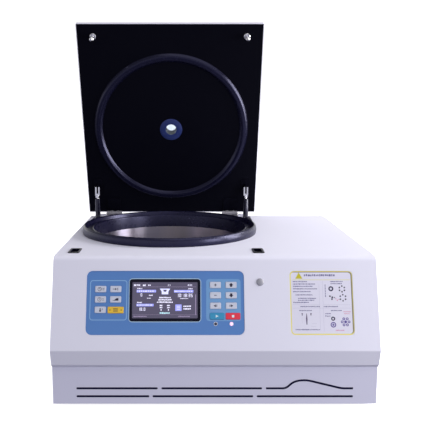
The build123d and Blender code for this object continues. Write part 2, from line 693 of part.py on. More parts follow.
def display_window():
    """Clear pane over the display."""
    dx, dt, dw, dh = DISPLAY
    return on_panel(dx, dt, 0, tablet(dw - 0.3, dh - 0.3, OVERLAY_T + 0.4, 5.8))


def indicator_lamps():
    """Two round signal lamps."""
    lamps = []
    for x, t in LAMPS:
        lamp = Cylinder(LAMP_R, 8, align=(Align.CENTER, Align.CENTER, Align.MIN))
        lamp = fillet(lamp.edges().group_by(Axis.Z)[-1], 1.5)
        lamps.append(on_panel(x, t, -5.8, lamp))
    return lamps


def release_plug():
    """Domed plug over the hole of the emergency lid release."""
    dome = spun([(0, 0.1), (8, 0.1), (7.6, 1.6), (6, 3), (3.4, 3.8), (0, 4.1)])
    stem = spun([(0, -7), (4.6, -7), (5.6, -5), (PLUG_R - 0.1, -2), (PLUG_R - 0.1, 0.1), (0, 0.1)])
    return on_fascia(*PLUG, 0, dome + stem)


# ---------------------------------------------------------------- lid latch
BAR_TOP = -4.8
BAR_T = 3.0
BAR_TRAVEL = 8.0
HOOK_LEN = 38.0
NECK = (24.4, 31.2)       # neck of the hook, from the liner
NECK_R = 3.0


def latch_sockets():
    """Black bezels of the two latch slots, and the guide blocks under the bar."""
    pieces = []
    for side in (-1, 1):
        place = Pos(CHAMBER_X + side * HOOK_X, back(LATCH_BACK), DECK_Z)
        bezel = tablet(SLOT_LATCH[0] + 4, SLOT_LATCH[1] + 4, 1.4, 5)
        bezel = bezel + Pos(0, 0, -SHEET - 1) * tablet(
            SLOT_LATCH[0] - 0.4, SLOT_LATCH[1] - 0.4, SHEET + 1, 3.5)
        bezel = bezel - Pos(0, 0, -10) * tablet(SLOT_LATCH[0] - 4, SLOT_LATCH[1] - 5, 20, 3)
        pieces.append(place * bezel)
        guide = Pos(0, 0, BAR_TOP - BAR_T - 8.3) * tablet(40, 44, 8, 3)
        guide = guide - Pos(0, 0, BAR_TOP - BAR_T - 12) * Cylinder(8.5, 60)
        pieces.append(place * guide)
    return pieces


def latch_slide_bar():
    """Flat bar with a keyhole under each latch slot; it slides to the right to lock."""
    length = 2 * HOOK_X + 36
    bar = tablet(length, 30, BAR_T, 4)
    for side in (-1, 1):
        keyhole = Pos(side * HOOK_X, 0, -5) * Cylinder(7.2, 20)
        slot = Pos(side * HOOK_X - BAR_TRAVEL / 2, 0, -5) * extrude(
            SlotOverall(BAR_TRAVEL + 2 * NECK_R + 1.2, 2 * NECK_R + 1.2), 20)
        bar = bar - keyhole - slot
    window = Pos(0, 0, -5) * extrude(SlotOverall(120, 10), 20)
    bar = bar - window
    return Pos(CHAMBER_X, back(LATCH_BACK), above(BAR_TOP - BAR_T)) * bar


def latch_hooks():
    """Two turned hooks that hang from the lid, with a washer at the root."""
    head = NECK[1]
    profile = [(0, 0), (8, 0), (8, 2.0), (7, 2.8), (4, 2.8), (4, NECK[0] - 1.5),
               (NECK_R, NECK[0]), (NECK_R, head), (5.2, head + 0.8), (5.2, head + 3.6),
               (2.4, HOOK_LEN), (0, HOOK_LEN)]
    hook = Rot(180, 0, 0) * spun(profile)
    s = HINGE_BACK - LATCH_BACK
    return [on_lid(side * HOOK_X, s, LINER_UP, hook) for side in (-1, 1)]


# ---------------------------------------------------------------- lid
CENTRE_S = HINGE_BACK - CHAMBER_BACK
RIM = 1.6
RIDGE_H = 7.0             # sealing ridge under the liner


def lid_shell():
    """White outer shell of the lid, a shallow tray turned upside down."""
    length = LID_FRONT - LID_REAR
    rise = LID_T - LID_EDGE
    outer = hipped(LID_W, length, LID_EDGE, rise, LID_SLOPE_IN, 3)
    hollow = rise - LID_TOP_T
    inner = Pos(0, 0, -1) * hipped(LID_W - 2 * RIM, length - 2 * RIM, LID_EDGE + 1, hollow,
                                   LID_SLOPE_IN * hollow / rise, 1.6)
    shell = outer - inner
    shell = on_lid(0, (LID_FRONT + LID_REAR) / 2, LINER_UP, shell)
    return shell - on_lid(0, CENTRE_S, LID_TOP, Cylinder(15, 20))


def lid_liner():
    """Black inner liner with a raised sealing ring and the sight sleeve."""
    length = LID_FRONT - LID_REAR - 2 * RIM - 0.6
    plate = on_lid(0, (LID_FRONT + LID_REAR) / 2, LINER_UP,
                   tablet(LID_W - 2 * RIM - 0.6, length, 4, 1.4))
    crown = (
        ThreePointArc((193, 0), (204, -RIDGE_H), (215, 0))
        + Line((215, 0), (215, 0.5))
        + Line((215, 0.5), (193, 0.5))
        + Line((193, 0.5), (193, 0))
    )
    ridge = revolve(make_face(Plane.XZ * crown), Axis.Z)
    liner = plate + on_lid(0, CENTRE_S, LINER_UP, ridge)
    liner = liner - on_lid(0, CENTRE_S, LINER_UP, Cylinder(32, 20))
    sleeve = spun([(15.2, 3.2), (34, 3.2), (34, 5), (18, 5), (18, LID_T - 3.2),
                   (15.2, LID_T - 3.2)])
    return liner + on_lid(0, CENTRE_S, LINER_UP, sleeve)


def sight_glass():
    """Round pane of the sight hole, flush with the liner."""
    return on_lid(0, CENTRE_S, LINER_UP + 0.2, Cylinder(
        31.7, 2.9, align=(Align.CENTER, Align.CENTER, Align.MIN)))


KNUCKLE_R = 6.8
KNUCKLE_PIN_R = 3.0
BASE_KNUCKLES = ((-22.5, -13.5), (-4.5, 4.5), (13.5, 22.5))
ARM_KNUCKLES = ((-13.2, -4.8), (4.8, 13.2))
STOP_END = 40.0           # outer end of the stop block beside each hinge


def knuckle(x0, x1, bore):
    """A hinge barrel along X about the origin."""
    barrel = rod(KNUCKLE_R, (x0, 0, 0), (x1, 0, 0))
    return barrel - rod(bore, (x0 - 1, 0, 0), (x1 + 1, 0, 0))


def hinge_bases():
    """Fixed hinge leaves on the rear edge of the deck, each with a stop block beside it."""
    bases = []
    for side in (-1, 1):
        leaf = block(-22.5, 22.5, -34, 2, -HINGE_UP, -HINGE_UP + 2.4)
        strip = sorted((side * 20.0, side * STOP_END))
        stop = sorted((side * 24.0, side * STOP_END))
        leaf = leaf + block(*strip, -8, 2, -HINGE_UP, -HINGE_UP + 2.4)
        leaf = leaf + block(*stop, -8, 2, -HINGE_UP, -1.0)
        for x0, x1 in BASE_KNUCKLES:
            leaf = leaf + block(x0, x1, -6, 2, -HINGE_UP, -2) + knuckle(x0, x1, 1)
        for x0, x1 in ARM_KNUCKLES:
            leaf = leaf - rod(KNUCKLE_R + 0.4, (x0 - 0.3, 0, 0), (x1 + 0.3, 0, 0))
        leaf = leaf - rod(KNUCKLE_PIN_R + 0.02, (-40, 0, 0), (40, 0, 0))
        bases.append(Pos(CHAMBER_X + side * HINGE_X, HINGE_Y, HINGE_Z) * leaf)
    return bases


def hinge_pins():
    """Two hinge pins with rounded heads."""
    pins = []
    for side in (-1, 1):
        pin = rod(KNUCKLE_PIN_R, (-23.4, 0, 0), (23.4, 0, 0))
        pins.append(Pos(CHAMBER_X + side * HINGE_X, HINGE_Y, HINGE_Z) * pin)
    return pins


def lid_hinge_arms():
    """Moving hinge leaves, screwed under the rear edge of the lid."""
    arms = []
    for side in (-1, 1):
        arm = block(-19, 19, -44, 1.5, LINER_UP - 3, LINER_UP)
        for x0, x1 in ARM_KNUCKLES:
            arm = arm + knuckle(x0, x1, 1) + block(x0, x1, -5, 1.5, 2, LINER_UP - 1)
        arm = arm - rod(KNUCKLE_PIN_R + RUN_FIT, (-40, 0, 0), (40, 0, 0))
        arms.append(on_lid(side * HINGE_X, 0, 0, arm))
    return arms


# ---------------------------------------------------------------- gas springs
EAR_T = 4.0
PRONG = (2.4, 6.4)        # inner and outer face of a fork prong, from the middle
FORK_PIN_R = 2.5


def strut_brackets():
    """Lid brackets of the gas springs: a base plate, an ear and its cross pin."""
    brackets = []
    for side in (-1, 1):
        plate = Pos(0, 0, LINER_UP - 2.4) * tablet(24, 44, 2.4, 4)
        ear = block(-EAR_T / 2, EAR_T / 2, -9, 9, STRUT_N + 4, LINER_UP - 2)
        ear = ear + rod(7, (-EAR_T / 2, 0, STRUT_N), (EAR_T / 2, 0, STRUT_N))
        pin = rod(FORK_PIN_R, (-8.2, 0, STRUT_N), (8.2, 0, STRUT_N))
        brackets.append(on_lid(side * STRUT_X, STRUT_S, 0, plate + ear + pin))
    return brackets


def strut_frame(side):
    """Frame at a gas spring's upper pivot, local -Z along the spring."""
    turn = radians(LID_OPEN)
    top_back = HINGE_BACK - STRUT_S * cos(turn) + STRUT_N * sin(turn)
    top_up = HINGE_UP + STRUT_S * sin(turn) + STRUT_N * cos(turn)
    lean = degrees(atan2(top_back - ANCHOR_BACK, top_up - ANCHOR_UP))
    length = hypot(top_back - ANCHOR_BACK, top_up - ANCHOR_UP)
    place = Location((CHAMBER_X + side * STRUT_X, back(top_back), above(top_up)), (-lean, 0, 0))
    return place, length


TUBE_R = 7.5
TUBE_TOP = 27.0           # distances down the spring from its upper pivot
TUBE_END = 152.0
ROD_R = 3.6


def gas_spring_forks():
    """Clevis forks with their lock nuts at the top of the gas springs."""
    forks = []
    for side in (-1, 1):
        fork = block(PRONG[0], PRONG[1], -5, 5, -15, 6) + block(-PRONG[1], -PRONG[0], -5, 5, -15, 6)
        fork = fork + block(-PRONG[1], PRONG[1], -5, 5, -19, -13)
        fork = fork + Pos(0, 0, -25) * extrude(RegularPolygon(6.2, 6), 5)
        fork = fork + rod(3, (0, 0, -TUBE_TOP), (0, 0, -18))
        fork = fork - rod(FORK_PIN_R + RUN_FIT, (-20, 0, 0), (20, 0, 0))
        forks.append(strut_frame(side)[0] * fork)
    return forks


def gas_spring_tubes():
    """Pressure tubes of the gas springs."""
    tubes = []
    for side in (-1, 1):
        tube = spun([(0, -TUBE_TOP), (5.5, -TUBE_TOP), (TUBE_R, -TUBE_TOP - 2), (TUBE_R, -TUBE_END + 3),
                     (6, -TUBE_END), (0, -TUBE_END)])
        bore = spun([(0, -TUBE_TOP - 6), (ROD_R + RUN_FIT, -TUBE_TOP - 6),
                     (ROD_R + RUN_FIT, -TUBE_END - 1), (0, -TUBE_END - 1)])
        tubes.append(strut_frame(side)[0] * (tube - bore))
    return tubes


def gas_spring_rods():
    """Piston rods with the lower eye and its cross pin."""
    rods = []
    for side in (-1, 1):
        place, length = strut_frame(side)
        bar = rod(ROD_R, (0, 0, -length + 5), (0, 0, -TUBE_END + 34))
        eye = rod(8, (-4, 0, -length), (4, 0, -length))
        pin = rod(PIN_R, (-9.5, 0, -length), (9.5, 0, -length))
        rods.append(place * (bar + eye + pin))
    return rods


# ---------------------------------------------------------------- mains inlet
MODULE_T = 2.5
ROCKER_UP = 19.0
ROCKER_TILT = 9.0


def rear_frame():
    """Frame on the rear face at the mains inlet, local Z pointing out."""
    return Plane(origin=(INLET_X, back(DECK_DEPTH), INLET_Z), x_dir=(-1, 0, 0), z_dir=(0, 1, 0))


def power_inlet():
    """Mains inlet with three contact blades and a housing for the rocker switch."""
    module = tablet(48, 76, MODULE_T, 4)
    module = module + Pos(0, 0, -26) * tablet(33.4, 65.4, 26, 1.6)
    socket = Pos(0, -14, -18) * tablet(25, 17.5, 40, 3)
    module = module - socket
    for x in (-7, 0, 7):
        y = -14 + (3 if x == 0 else -1.5)
        module = module + Pos(x, y, -19) * extrude(Rectangle(2, 5), 16)
    bay = Pos(0, ROCKER_UP, -9) * extrude(Rectangle(24.4, 14.4), 30)
    module = module - bay
    module = module + Pos(0, ROCKER_UP, 0) * rod(1.5, (-13, 0, 0), (13, 0, 0))
    return rear_frame() * module


def power_switch():
    """Rocker cap tilted to its off side."""
    cap = Rot(0, 90, 0) * extrude(Circle(9), 23.4 / 2, both=True)
    cap = cap & Box(40, 13.2, 40)
    cap = cap & Pos(0, 0, 4) * Box(40, 30, 9)
    dish = Pos(0, 0, 16) * Rot(0, 90, 0) * Cylinder(12, 60)
    cap = cap - dish
    cap = cap - rod(1.5 + RUN_FIT, (-20, 0, 0), (20, 0, 0))
    return rear_frame() * Pos(0, ROCKER_UP, 0) * Rot(ROCKER_TILT, 0, 0) * cap


# ---------------------------------------------------------------- export
NODES = {
    "top_cover": top_cover,
    "left_side_panel": lambda: side_panel(-1),
    "right_side_panel": lambda: side_panel(1),
    "front_skirt": front_skirt,
    "rear_panel": rear_panel,
    "base_pan": base_pan,
    "feet": feet,
    "casing_screws": casing_screws,
    "inner_frame": inner_frame,
    "chamber_bowl": chamber_bowl,
    "evaporator_coil": evaporator_coil,
    "bowl_insulation": bowl_insulation,
    "chamber_gasket": chamber_gasket,
    "motor_body": motor_body,
    "motor_dampers": motor_dampers,
    "drive_shaft": drive_shaft,
    "rotor_head": rotor_head,
    "rotor_nut": rotor_nut,
    "compressor": compressor,
    "condenser": condenser,
    "fan_blades": fan_blades,
    "inverter_unit": inverter_unit,
    "keypad_overlay": keypad_overlay,
    "display_board": display_board,
    "display_window": display_window,
    "indicator_lamps": indicator_lamps,
    "release_plug": release_plug,
    "latch_sockets": latch_sockets,
    "latch_slide_bar": latch_slide_bar,
    "latch_hooks": latch_hooks,
    "lid_shell": lid_shell,
    "lid_liner": lid_liner,
    "sight_glass": sight_glass,
    "hinge_bases": hinge_bases,
    "hinge_pins": hinge_pins,
    "lid_hinge_arms": lid_hinge_arms,
    "strut_brackets": strut_brackets,
    "gas_spring_forks": gas_spring_forks,
    "gas_spring_tubes": gas_spring_tubes,
    "gas_spring_rods": gas_spring_rods,
    "power_inlet": power_inlet,
    "power_switch": power_switch,
}
for number in range(4):
    NODES[f"bucket_{number + 1}"] = lambda number=number: bucket(number)
for key_name in KEYS:
    NODES[f"key_{key_name}"] = lambda name=key_name: key(name)

os.makedirs("parts", exist_ok=True)
for node, make in NODES.items():
    shape = make()
    if isinstance(shape, list):
        shape = Compound(children=[Compound(children=list(s.solids())) for s in shape])
    export_step(shape, f"parts/{node}.step")
    print(node, len(shape.solids()), "solid(s)")
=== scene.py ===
"""Looks of the laboratory centrifuge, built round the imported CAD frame. Metres throughout."""
import json
import math
import random

import bmesh
import bpy
from mathutils import Matrix, Vector


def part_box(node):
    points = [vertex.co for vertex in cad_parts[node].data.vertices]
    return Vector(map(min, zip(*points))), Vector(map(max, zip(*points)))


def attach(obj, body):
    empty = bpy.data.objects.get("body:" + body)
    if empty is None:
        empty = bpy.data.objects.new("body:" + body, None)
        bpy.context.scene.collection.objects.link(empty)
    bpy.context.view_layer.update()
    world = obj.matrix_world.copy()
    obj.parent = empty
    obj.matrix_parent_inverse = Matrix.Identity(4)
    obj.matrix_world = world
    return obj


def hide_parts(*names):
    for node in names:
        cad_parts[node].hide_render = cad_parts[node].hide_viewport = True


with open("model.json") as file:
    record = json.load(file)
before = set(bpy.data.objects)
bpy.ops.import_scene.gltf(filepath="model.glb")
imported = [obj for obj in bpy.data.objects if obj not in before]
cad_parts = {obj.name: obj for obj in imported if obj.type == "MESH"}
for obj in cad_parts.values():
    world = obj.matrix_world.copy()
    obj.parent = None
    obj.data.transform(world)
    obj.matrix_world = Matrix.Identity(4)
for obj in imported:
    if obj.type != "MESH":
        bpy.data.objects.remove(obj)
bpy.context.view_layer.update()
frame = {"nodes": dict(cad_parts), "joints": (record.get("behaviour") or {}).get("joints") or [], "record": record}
NODES = frame["nodes"]
JOINTS = {j["name"]: j for j in frame["joints"]}
MM = 0.001
UP = Vector((0, 0, 1))


# ---------------------------------------------------------------- places taken from the frame
def reach(node, direction):
    """How far a CAD node goes along a direction."""
    return max(v.co.dot(direction) for v in NODES[node].data.vertices)


def basis(x, y, z, origin):
    """Matrix of a local frame."""
    m = Matrix((x, y, z)).transposed().to_4x4()
    m.translation = origin
    return m


CHAMBER = Vector(JOINTS["rotor_spin"]["pos_m"])
HINGE = Vector(JOINTS["lid_hinge"]["pos_m"])
LID_OPEN = math.radians(JOINTS["lid_hinge"]["range_deg"][1])
REAR_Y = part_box("rear_panel")[1].y

# Fascia frame: X to the right, Y up the slope, Z out of the panel; origin on the fascia
# surface at the middle of the overlay.
OUT = -Vector(JOINTS["key_start_press"]["axis"])
SLOPE = OUT.cross(Vector((1, 0, 0)))
OVERLAY_T = 1.0 * MM
_mid = sum(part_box("keypad_overlay"), Vector()) / 2
_mid = _mid + OUT * (reach("keypad_overlay", OUT) - OVERLAY_T - _mid.dot(OUT))
FASCIA = basis(Vector((1, 0, 0)), SLOPE, OUT, _mid)
OVERLAY_H = reach("keypad_overlay", SLOPE) + reach("keypad_overlay", -SLOPE)

# Lid frame: X to the right, Y back towards the hinge, Z up when the lid is closed; origin
# above the rotor axis on the underside of the liner.
LID = Matrix.Translation(Vector((CHAMBER.x, HINGE.y, HINGE.z))) @ Matrix.Rotation(-LID_OPEN, 4, "X")
_pane = [LID.inverted() @ v.co for v in NODES["sight_glass"].data.vertices]
LID = LID @ Matrix.Translation((0, CHAMBER.y - HINGE.y, min(p.z for p in _pane) - 0.2 * MM))


# ---------------------------------------------------------------- mesh helpers
def link(name, data, matrix=None):
    """A new object in the scene; a mesh gets its place baked in."""
    if matrix is not None:
        data.transform(matrix)
    obj = bpy.data.objects.new(name, data)
    bpy.context.scene.collection.objects.link(obj)
    return obj


def soften(obj, bevel=0.0, angle=40):
    """Smooth shading with crisp edges, and a bevel on the edges sharper than the angle."""
    for p in obj.data.polygons:
        p.use_smooth = True
    if bevel:
        m = obj.modifiers.new("bevel", "BEVEL")
        m.width = bevel
        m.segments = 2
        m.limit_method = "ANGLE"
        m.angle_limit = math.radians(angle)
        m.use_clamp_overlap = True
        m.harden_normals = True
    else:
        obj.data.set_sharp_from_angle(angle=math.radians(angle))
    return obj


def from_bmesh(name, bm, matrix=None):
    """Turn a bmesh into an object."""
    bmesh.ops.recalc_face_normals(bm, faces=bm.faces)
    mesh = bpy.data.meshes.new(name)
    bm.to_mesh(mesh)
    bm.free()
    return link(name, mesh, matrix)


def rounded_outline(width, height, radius, steps=6):
    """Points of a rounded rectangle about the origin, anticlockwise."""
    points = []
    radius = min(radius, width / 2 - 1e-6, height / 2 - 1e-6)
    for corner, (sx, sy) in enumerate(((1, 1), (-1, 1), (-1, -1), (1, -1))):
        cx = sx * (width / 2 - radius)
        cy = sy * (height / 2 - radius)
        for k in range(steps + 1):
            a = math.pi / 2 * (corner + k / steps)
            points.append((cx + radius * math.cos(a), cy + radius * math.sin(a)))
    return points


def curve_mesh(name, curve):
    """The mesh of a curve, made through a short-lived object."""
    temp = link(name, curve)
    bpy.context.view_layer.update()
    mesh = bpy.data.meshes.new_from_object(temp)
    bpy.data.objects.remove(temp)
    return mesh


def slab(name, outline, low, high, matrix, bevel=0.0, holes=()):
    """A flat plate with an outline and holes, from low to high along the local Z axis."""
    curve = bpy.data.curves.new(name, "CURVE")
    curve.dimensions = "2D"
    curve.fill_mode = "BOTH"
    curve.extrude = (high - low) / 2
    for ring in (outline, *holes):
        spline = curve.splines.new("POLY")
        spline.points.add(len(ring) - 1)
        for point, (x, y) in zip(spline.points, ring):
            point.co = (x, y, 0, 1)
        spline.use_cyclic_u = True
    mesh = curve_mesh(name, curve)
    bm = bmesh.new()
    bm.from_mesh(mesh)
    bpy.data.meshes.remove(mesh)
    bmesh.ops.remove_doubles(bm, verts=bm.verts, dist=1e-7)
    obj = from_bmesh(name, bm, matrix @ Matrix.Translation((0, 0, (low + high) / 2)))
    return soften(obj, bevel)


def rounded_slab(name, width, height, radius, low, high, matrix, x=0, y=0, bevel=0.0, hole=None):
    """A rounded rectangular plate, with an optional concentric rounded hole."""
    shift = Matrix.Translation((x, y, 0))
    holes = [rounded_outline(*hole)] if hole else []
    return slab(name, rounded_outline(width, height, radius), low, high, matrix @ shift, bevel, holes)


def circle_points(radius, count, x=0.0, y=0.0):
    """Points of a circle."""
    turns = [2 * math.pi * k / count for k in range(count)]
    return [(x + radius * math.cos(a), y + radius * math.sin(a)) for a in turns]


def lathe(name, profile, segments, matrix, closed=True):
    """Turn a profile of (radius, height) points about the local Z axis."""
    bm = bmesh.new()
    rings = []
    for r, z in profile:
        points = circle_points(r, segments) if r > 1e-7 else [(0, 0)]
        rings.append([bm.verts.new((x, y, z)) for x, y in points])
    pairs = list(zip(rings, rings[1:]))
    if closed:
        pairs.append((rings[-1], rings[0]))
    for a, b in pairs:
        for k in range(segments):
            n = (k + 1) % segments
            corners = [a[k % len(a)], a[n % len(a)], b[n % len(b)], b[k % len(b)]]
            unique = list(dict.fromkeys(corners))
            if len(unique) > 2:
                bm.faces.new(unique)
    return soften(from_bmesh(name, bm, matrix))


def tube(name, points, radius, matrix, closed=False):
    """A round wire along a polyline."""
    curve = bpy.data.curves.new(name, "CURVE")
    curve.dimensions = "3D"
    curve.bevel_depth = radius
    curve.bevel_resolution = 2
    curve.use_fill_caps = True
    spline = curve.splines.new("POLY")
    spline.points.add(len(points) - 1)
    for point, co in zip(spline.points, points):
        point.co = (*co, 1)
    spline.use_cyclic_u = closed
    return soften(link(name, curve_mesh(name, curve), matrix))


def joined(name, objects):
    """Join several helper objects into one piece."""
    bm = bmesh.new()
    depsgraph = bpy.context.evaluated_depsgraph_get()
    for obj in objects:
        depsgraph.update()
        mesh = bpy.data.meshes.new_from_object(obj.evaluated_get(depsgraph))
        bm.from_mesh(mesh)
        bpy.data.meshes.remove(mesh)
        bpy.data.objects.remove(obj)
    mesh = bpy.data.meshes.new(name)
    bm.to_mesh(mesh)
    bm.free()
    return soften(link(name, mesh), angle=35)


def dress(obj, material, body=None, replaces=()):
    """Give a piece its material, the body it rides on and what it stands for."""
    obj.data.materials.clear()
    obj.data.materials.append(material)
    if body:
        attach(obj, body)
    if replaces:
        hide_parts(*replaces)
    return obj


# ---------------------------------------------------------------- material helpers
class Nodes:
    """A short way to write a material's node tree."""

    def __init__(self, name):
        self.material = bpy.data.materials.new(name)
        self.material.use_nodes = True
        self.tree = self.material.node_tree
        self.shader = self.tree.nodes["Principled BSDF"]
        self.coords = self.tree.nodes.new("ShaderNodeTexCoord").outputs["Object"]

    def set(self, **values):
        """Set shader sockets by name, with _ for a space."""
        for key, value in values.items():
            self.shader.inputs[key.replace("_", " ")].default_value = value

    def fill(self, socket, value):
        """Feed a socket from an output, or set it to a number, vector or colour."""
        if isinstance(value, bpy.types.NodeSocket):
            self.tree.links.new(value, socket)
        elif socket.type == "RGBA":
            socket.default_value = (*value, 1)
        else:
            socket.default_value = value

    def into(self, output, socket):
        """Link an output into a shader socket."""
        self.fill(self.shader.inputs[socket], output)

    def node(self, kind, output, **inputs):
        """A new node with its inputs filled by name, with _ for a space, and one of its outputs."""
        node = self.tree.nodes.new(kind)
        for key, value in inputs.items():
            self.fill(node.inputs[key.replace("_", " ")], value)
        return node.outputs[output]

    def mapped(self, scale, location=(0, 0, 0)):
        """Object coordinates, stretched."""
        return self.node("ShaderNodeMapping", "Vector", Vector=self.coords, Scale=scale, Location=location)

    def noise(self, scale, detail=3.0, rough=0.5, vector=None):
        """Noise value over the surface."""
        return self.node("ShaderNodeTexNoise", "Fac", Vector=vector or self.coords, Scale=scale,
                         Detail=detail, Roughness=rough)

    def voronoi(self, scale):
        """Cell distance over the surface."""
        return self.node("ShaderNodeTexVoronoi", "Distance", Vector=self.coords, Scale=scale)

    def spread(self, value, low, high, start=0.0, end=1.0):
        """Map a value's range to another."""
        return self.node("ShaderNodeMapRange", "Result", Value=value, From_Min=start, From_Max=end,
                         To_Min=low, To_Max=high)

    def math(self, operation, *values):
        """A math node on outputs or numbers."""
        node = self.tree.nodes.new("ShaderNodeMath")
        node.operation = operation
        for socket, value in zip(node.inputs, values):
            self.fill(socket, value)
        return node.outputs["Value"]

    def blend(self, factor, a, b):
        """Mix two colours by a value."""
        node = self.tree.nodes.new("ShaderNodeMix")
        node.data_type = "RGBA"
        for key, value in (("Factor", factor), ("A", a), ("B", b)):
            self.fill(node.inputs[key], value)
        return node.outputs["Result"]

    def bump(self, *layers):
        """Bump from (height output, distance) layers, one on top of the other."""
        normal = None
        for height, distance in layers:
            below = {"Normal": normal} if normal else {}
            normal = self.node("ShaderNodeBump", "Normal", Strength=1.0, Distance=distance, Height=height,
                               **below)
        self.into(normal, "Normal")

    def edge(self):
        """1 along edges and 0 on flats: how far a rounded normal turns from the true one; the callers use it to
        paint edge highlights into the colour.
        """
        bevel = self.tree.nodes.new("ShaderNodeBevel")
        bevel.samples = 4
        bevel.inputs["Radius"].default_value = 0.8 * MM
        dot = self.tree.nodes.new("ShaderNodeVectorMath")
        dot.operation = "DOT_PRODUCT"
        self.fill(dot.inputs[0], bevel.outputs["Normal"])
        self.fill(dot.inputs[1], self.node("ShaderNodeNewGeometry", "Normal"))
        return self.spread(dot.outputs["Value"], 1.0, 0.0, 0.75, 0.98)

    def turned(self, around, across):
        """Tool marks that run round the rotor axis, and the angle and height outputs they use."""
        split = self.tree.nodes.new("ShaderNodeSeparateXYZ")
        self.fill(split.inputs["Vector"], self.mapped((1, 1, 1), (-CHAMBER.x, -CHAMBER.y, 0)))
        x, y, height = split.outputs
        radius = self.math("SQRT", self.math("ADD", self.math("MULTIPLY", x, x), self.math("MULTIPLY", y, y)))
        angle = self.math("ARCTAN2", y, x)
        vector = self.combine(*(self.math("MULTIPLY", value, scale) for value, scale in (
            (angle, around), (radius, across), (height, across))))
        return self.noise(1.0, 4, 0.6, vector), angle, height

    def combine(self, x, y, z):
        """A vector of three outputs or numbers."""
        return self.node("ShaderNodeCombineXYZ", "Vector", X=x, Y=y, Z=z)


BLUISH = (0.62, 0.62, 1.0, 1)


def srgb(r, g, b):
    """Linear colour of an sRGB colour given in 0 to 255."""
    return tuple(((c / 255 + 0.055) / 1.055) ** 2.4 if c > 10 else c / 255 / 12.92 for c in (r, g, b))


def shade(colour, factor, lift=0.0):
    """A colour made darker or lighter."""
    return tuple(min(1, c * factor + lift) for c in colour)


def surface(name, tone, colour, other, grain, rough, bumps, **sockets):
    """A material that drifts between two colours, with uneven roughness and fine bumps.

    Noises are given by their arguments, rough as the arguments of spread, bumps as (noise, height).
    """
    n = Nodes(name)
    n.into(n.blend(n.noise(*tone), colour, other), "Base Color")
    n.into(n.spread(n.noise(*grain), *rough), "Roughness")
    n.bump(*((n.noise(*noise), height) for noise, height in bumps))
    n.set(**sockets)
    return n.material


def enamel(name, colour, rough):
    """Powder-coated sheet: orange peel and faint tone drift."""
    return surface(name, (3.0, 4), colour, shade(colour, 0.965), (14, 5, 0.6), (rough - 0.05, rough + 0.08),
                   (((620, 2, 0.45), 0.00004), ((55, 2), 0.00006)), Specular_IOR_Level=0.08)


def moulded(name, colour, rough=0.5, grain=0.00005, scale=900, level=0.5):
    """Moulded plastic with a fine spark-eroded grain."""
    return surface(name, (9, 4), colour, shade(colour, 0.85), (28, 5, 0.65), (rough - 0.08, rough + 0.10),
                   (((scale, 3, 0.6), grain), ((70, 2), grain)), Specular_IOR_Level=level)


def rubber(name, colour, rough=0.55, grain=0.00004):
    """Rubber with a dusty bloom and a fine moulding grain."""
    n = Nodes(name)
    bloom = n.spread(n.noise(18, 6, 0.7), 0.0, 1.0, 0.35, 0.75)
    n.into(n.blend(bloom, colour, shade(colour, 1.5, 0.001)), "Base Color")
    n.into(n.spread(n.noise(60, 5, 0.6), rough - 0.05, rough + 0.05), "Roughness")
    n.bump((n.noise(1400, 2), grain), (n.noise(120, 3), grain * 2))
    n.set(Specular_IOR_Level=0.5, Specular_Tint=BLUISH)
    return n.material


def metal(name, colour, rough=0.3, scratch=(400, 400, 20), depth=0.00003, metallic=1.0):
    """Worked steel or aluminium: directional marks, uneven roughness, and edges painted lighter as a painted
    highlight.
    """
    n = Nodes(name)
    marks = n.noise(1.0, 4, 0.6, n.mapped(scratch))
    base = n.blend(n.spread(marks, 0, 1, 0.3, 0.7), colour, shade(colour, 0.82))
    # Painted highlight: edges lighter in the base colour.
    n.into(n.blend(n.edge(), base, shade(colour, 1.15, 0.03)), "Base Color")
    n.into(n.spread(n.noise(35, 5, 0.6), rough * 0.75, rough * 1.35), "Roughness")
    n.bump((marks, depth))
    n.set(Metallic=metallic)
    return n.material


def chrome(name, colour):
    """Plated steel with slight waviness and a few dull spots."""
    return surface(name, (200, 3), colour, shade(colour, 0.93), (260, 5, 0.7), (0.05, 0.22, 0.3, 0.8),
                   (((90, 2), 0.00003),), Metallic=1.0)


# ---------------------------------------------------------------- materials
WHITE = (0.77, 0.765, 0.895)


def stainless_bowl():
    """Spun stainless steel: marks run round the bowl, lighter upright streaks painted in as reflections, soft
    stains.
    """
    n = Nodes("stainless_bowl")
    marks, angle, height = n.turned(0.6, 900)
    base = n.blend(n.spread(marks, 0, 1, 0.3, 0.7), (0.46, 0.43, 0.54), (0.34, 0.31, 0.42))
    # Painted reflections: lighter pinkish upright streaks in the base colour.
    streak_coords = n.combine(n.math("MULTIPLY", angle, 2.2), 0.3, n.math("MULTIPLY", height, 1.5))
    reflection_streaks = n.noise(1.0, 2, 0.5, streak_coords)
    base = n.blend(n.spread(reflection_streaks, 0, 0.8, 0.42, 0.78), base, (0.62, 0.53, 0.55))
    n.into(n.blend(n.spread(n.noise(16, 5, 0.6), 0, 0.35, 0.4, 0.8), base, (0.38, 0.36, 0.42)), "Base Color")
    n.into(n.spread(n.noise(20, 4), 0.31, 0.40), "Roughness")
    n.bump((marks, 0.00002), (n.noise(18, 2), 0.00012))
    tangent = n.tree.nodes.new("ShaderNodeTangent")
    tangent.direction_type = "RADIAL"
    tangent.axis = "Z"
    n.into(tangent.outputs["Tangent"], "Tangent")
    n.set(Metallic=1.0, Anisotropic=0.95, Anisotropic_Rotation=0.25)
    return n.material


def powder_black(name, colour, rough=0.45, level=0.5):
    """Black paint with a fine texture, and edges painted grey as a painted highlight."""
    n = Nodes(name)
    # Painted highlight: edges greyed in the base colour.
    n.into(n.blend(n.edge(), colour, shade(colour, 2.2, 0.008)), "Base Color")
    n.into(n.spread(n.noise(40, 5, 0.6), rough - 0.08, rough + 0.1), "Roughness")
    n.bump((n.noise(1300, 3, 0.6), 0.00006), (n.noise(150, 2), 0.00004))
    n.set(Specular_IOR_Level=level)
    return n.material


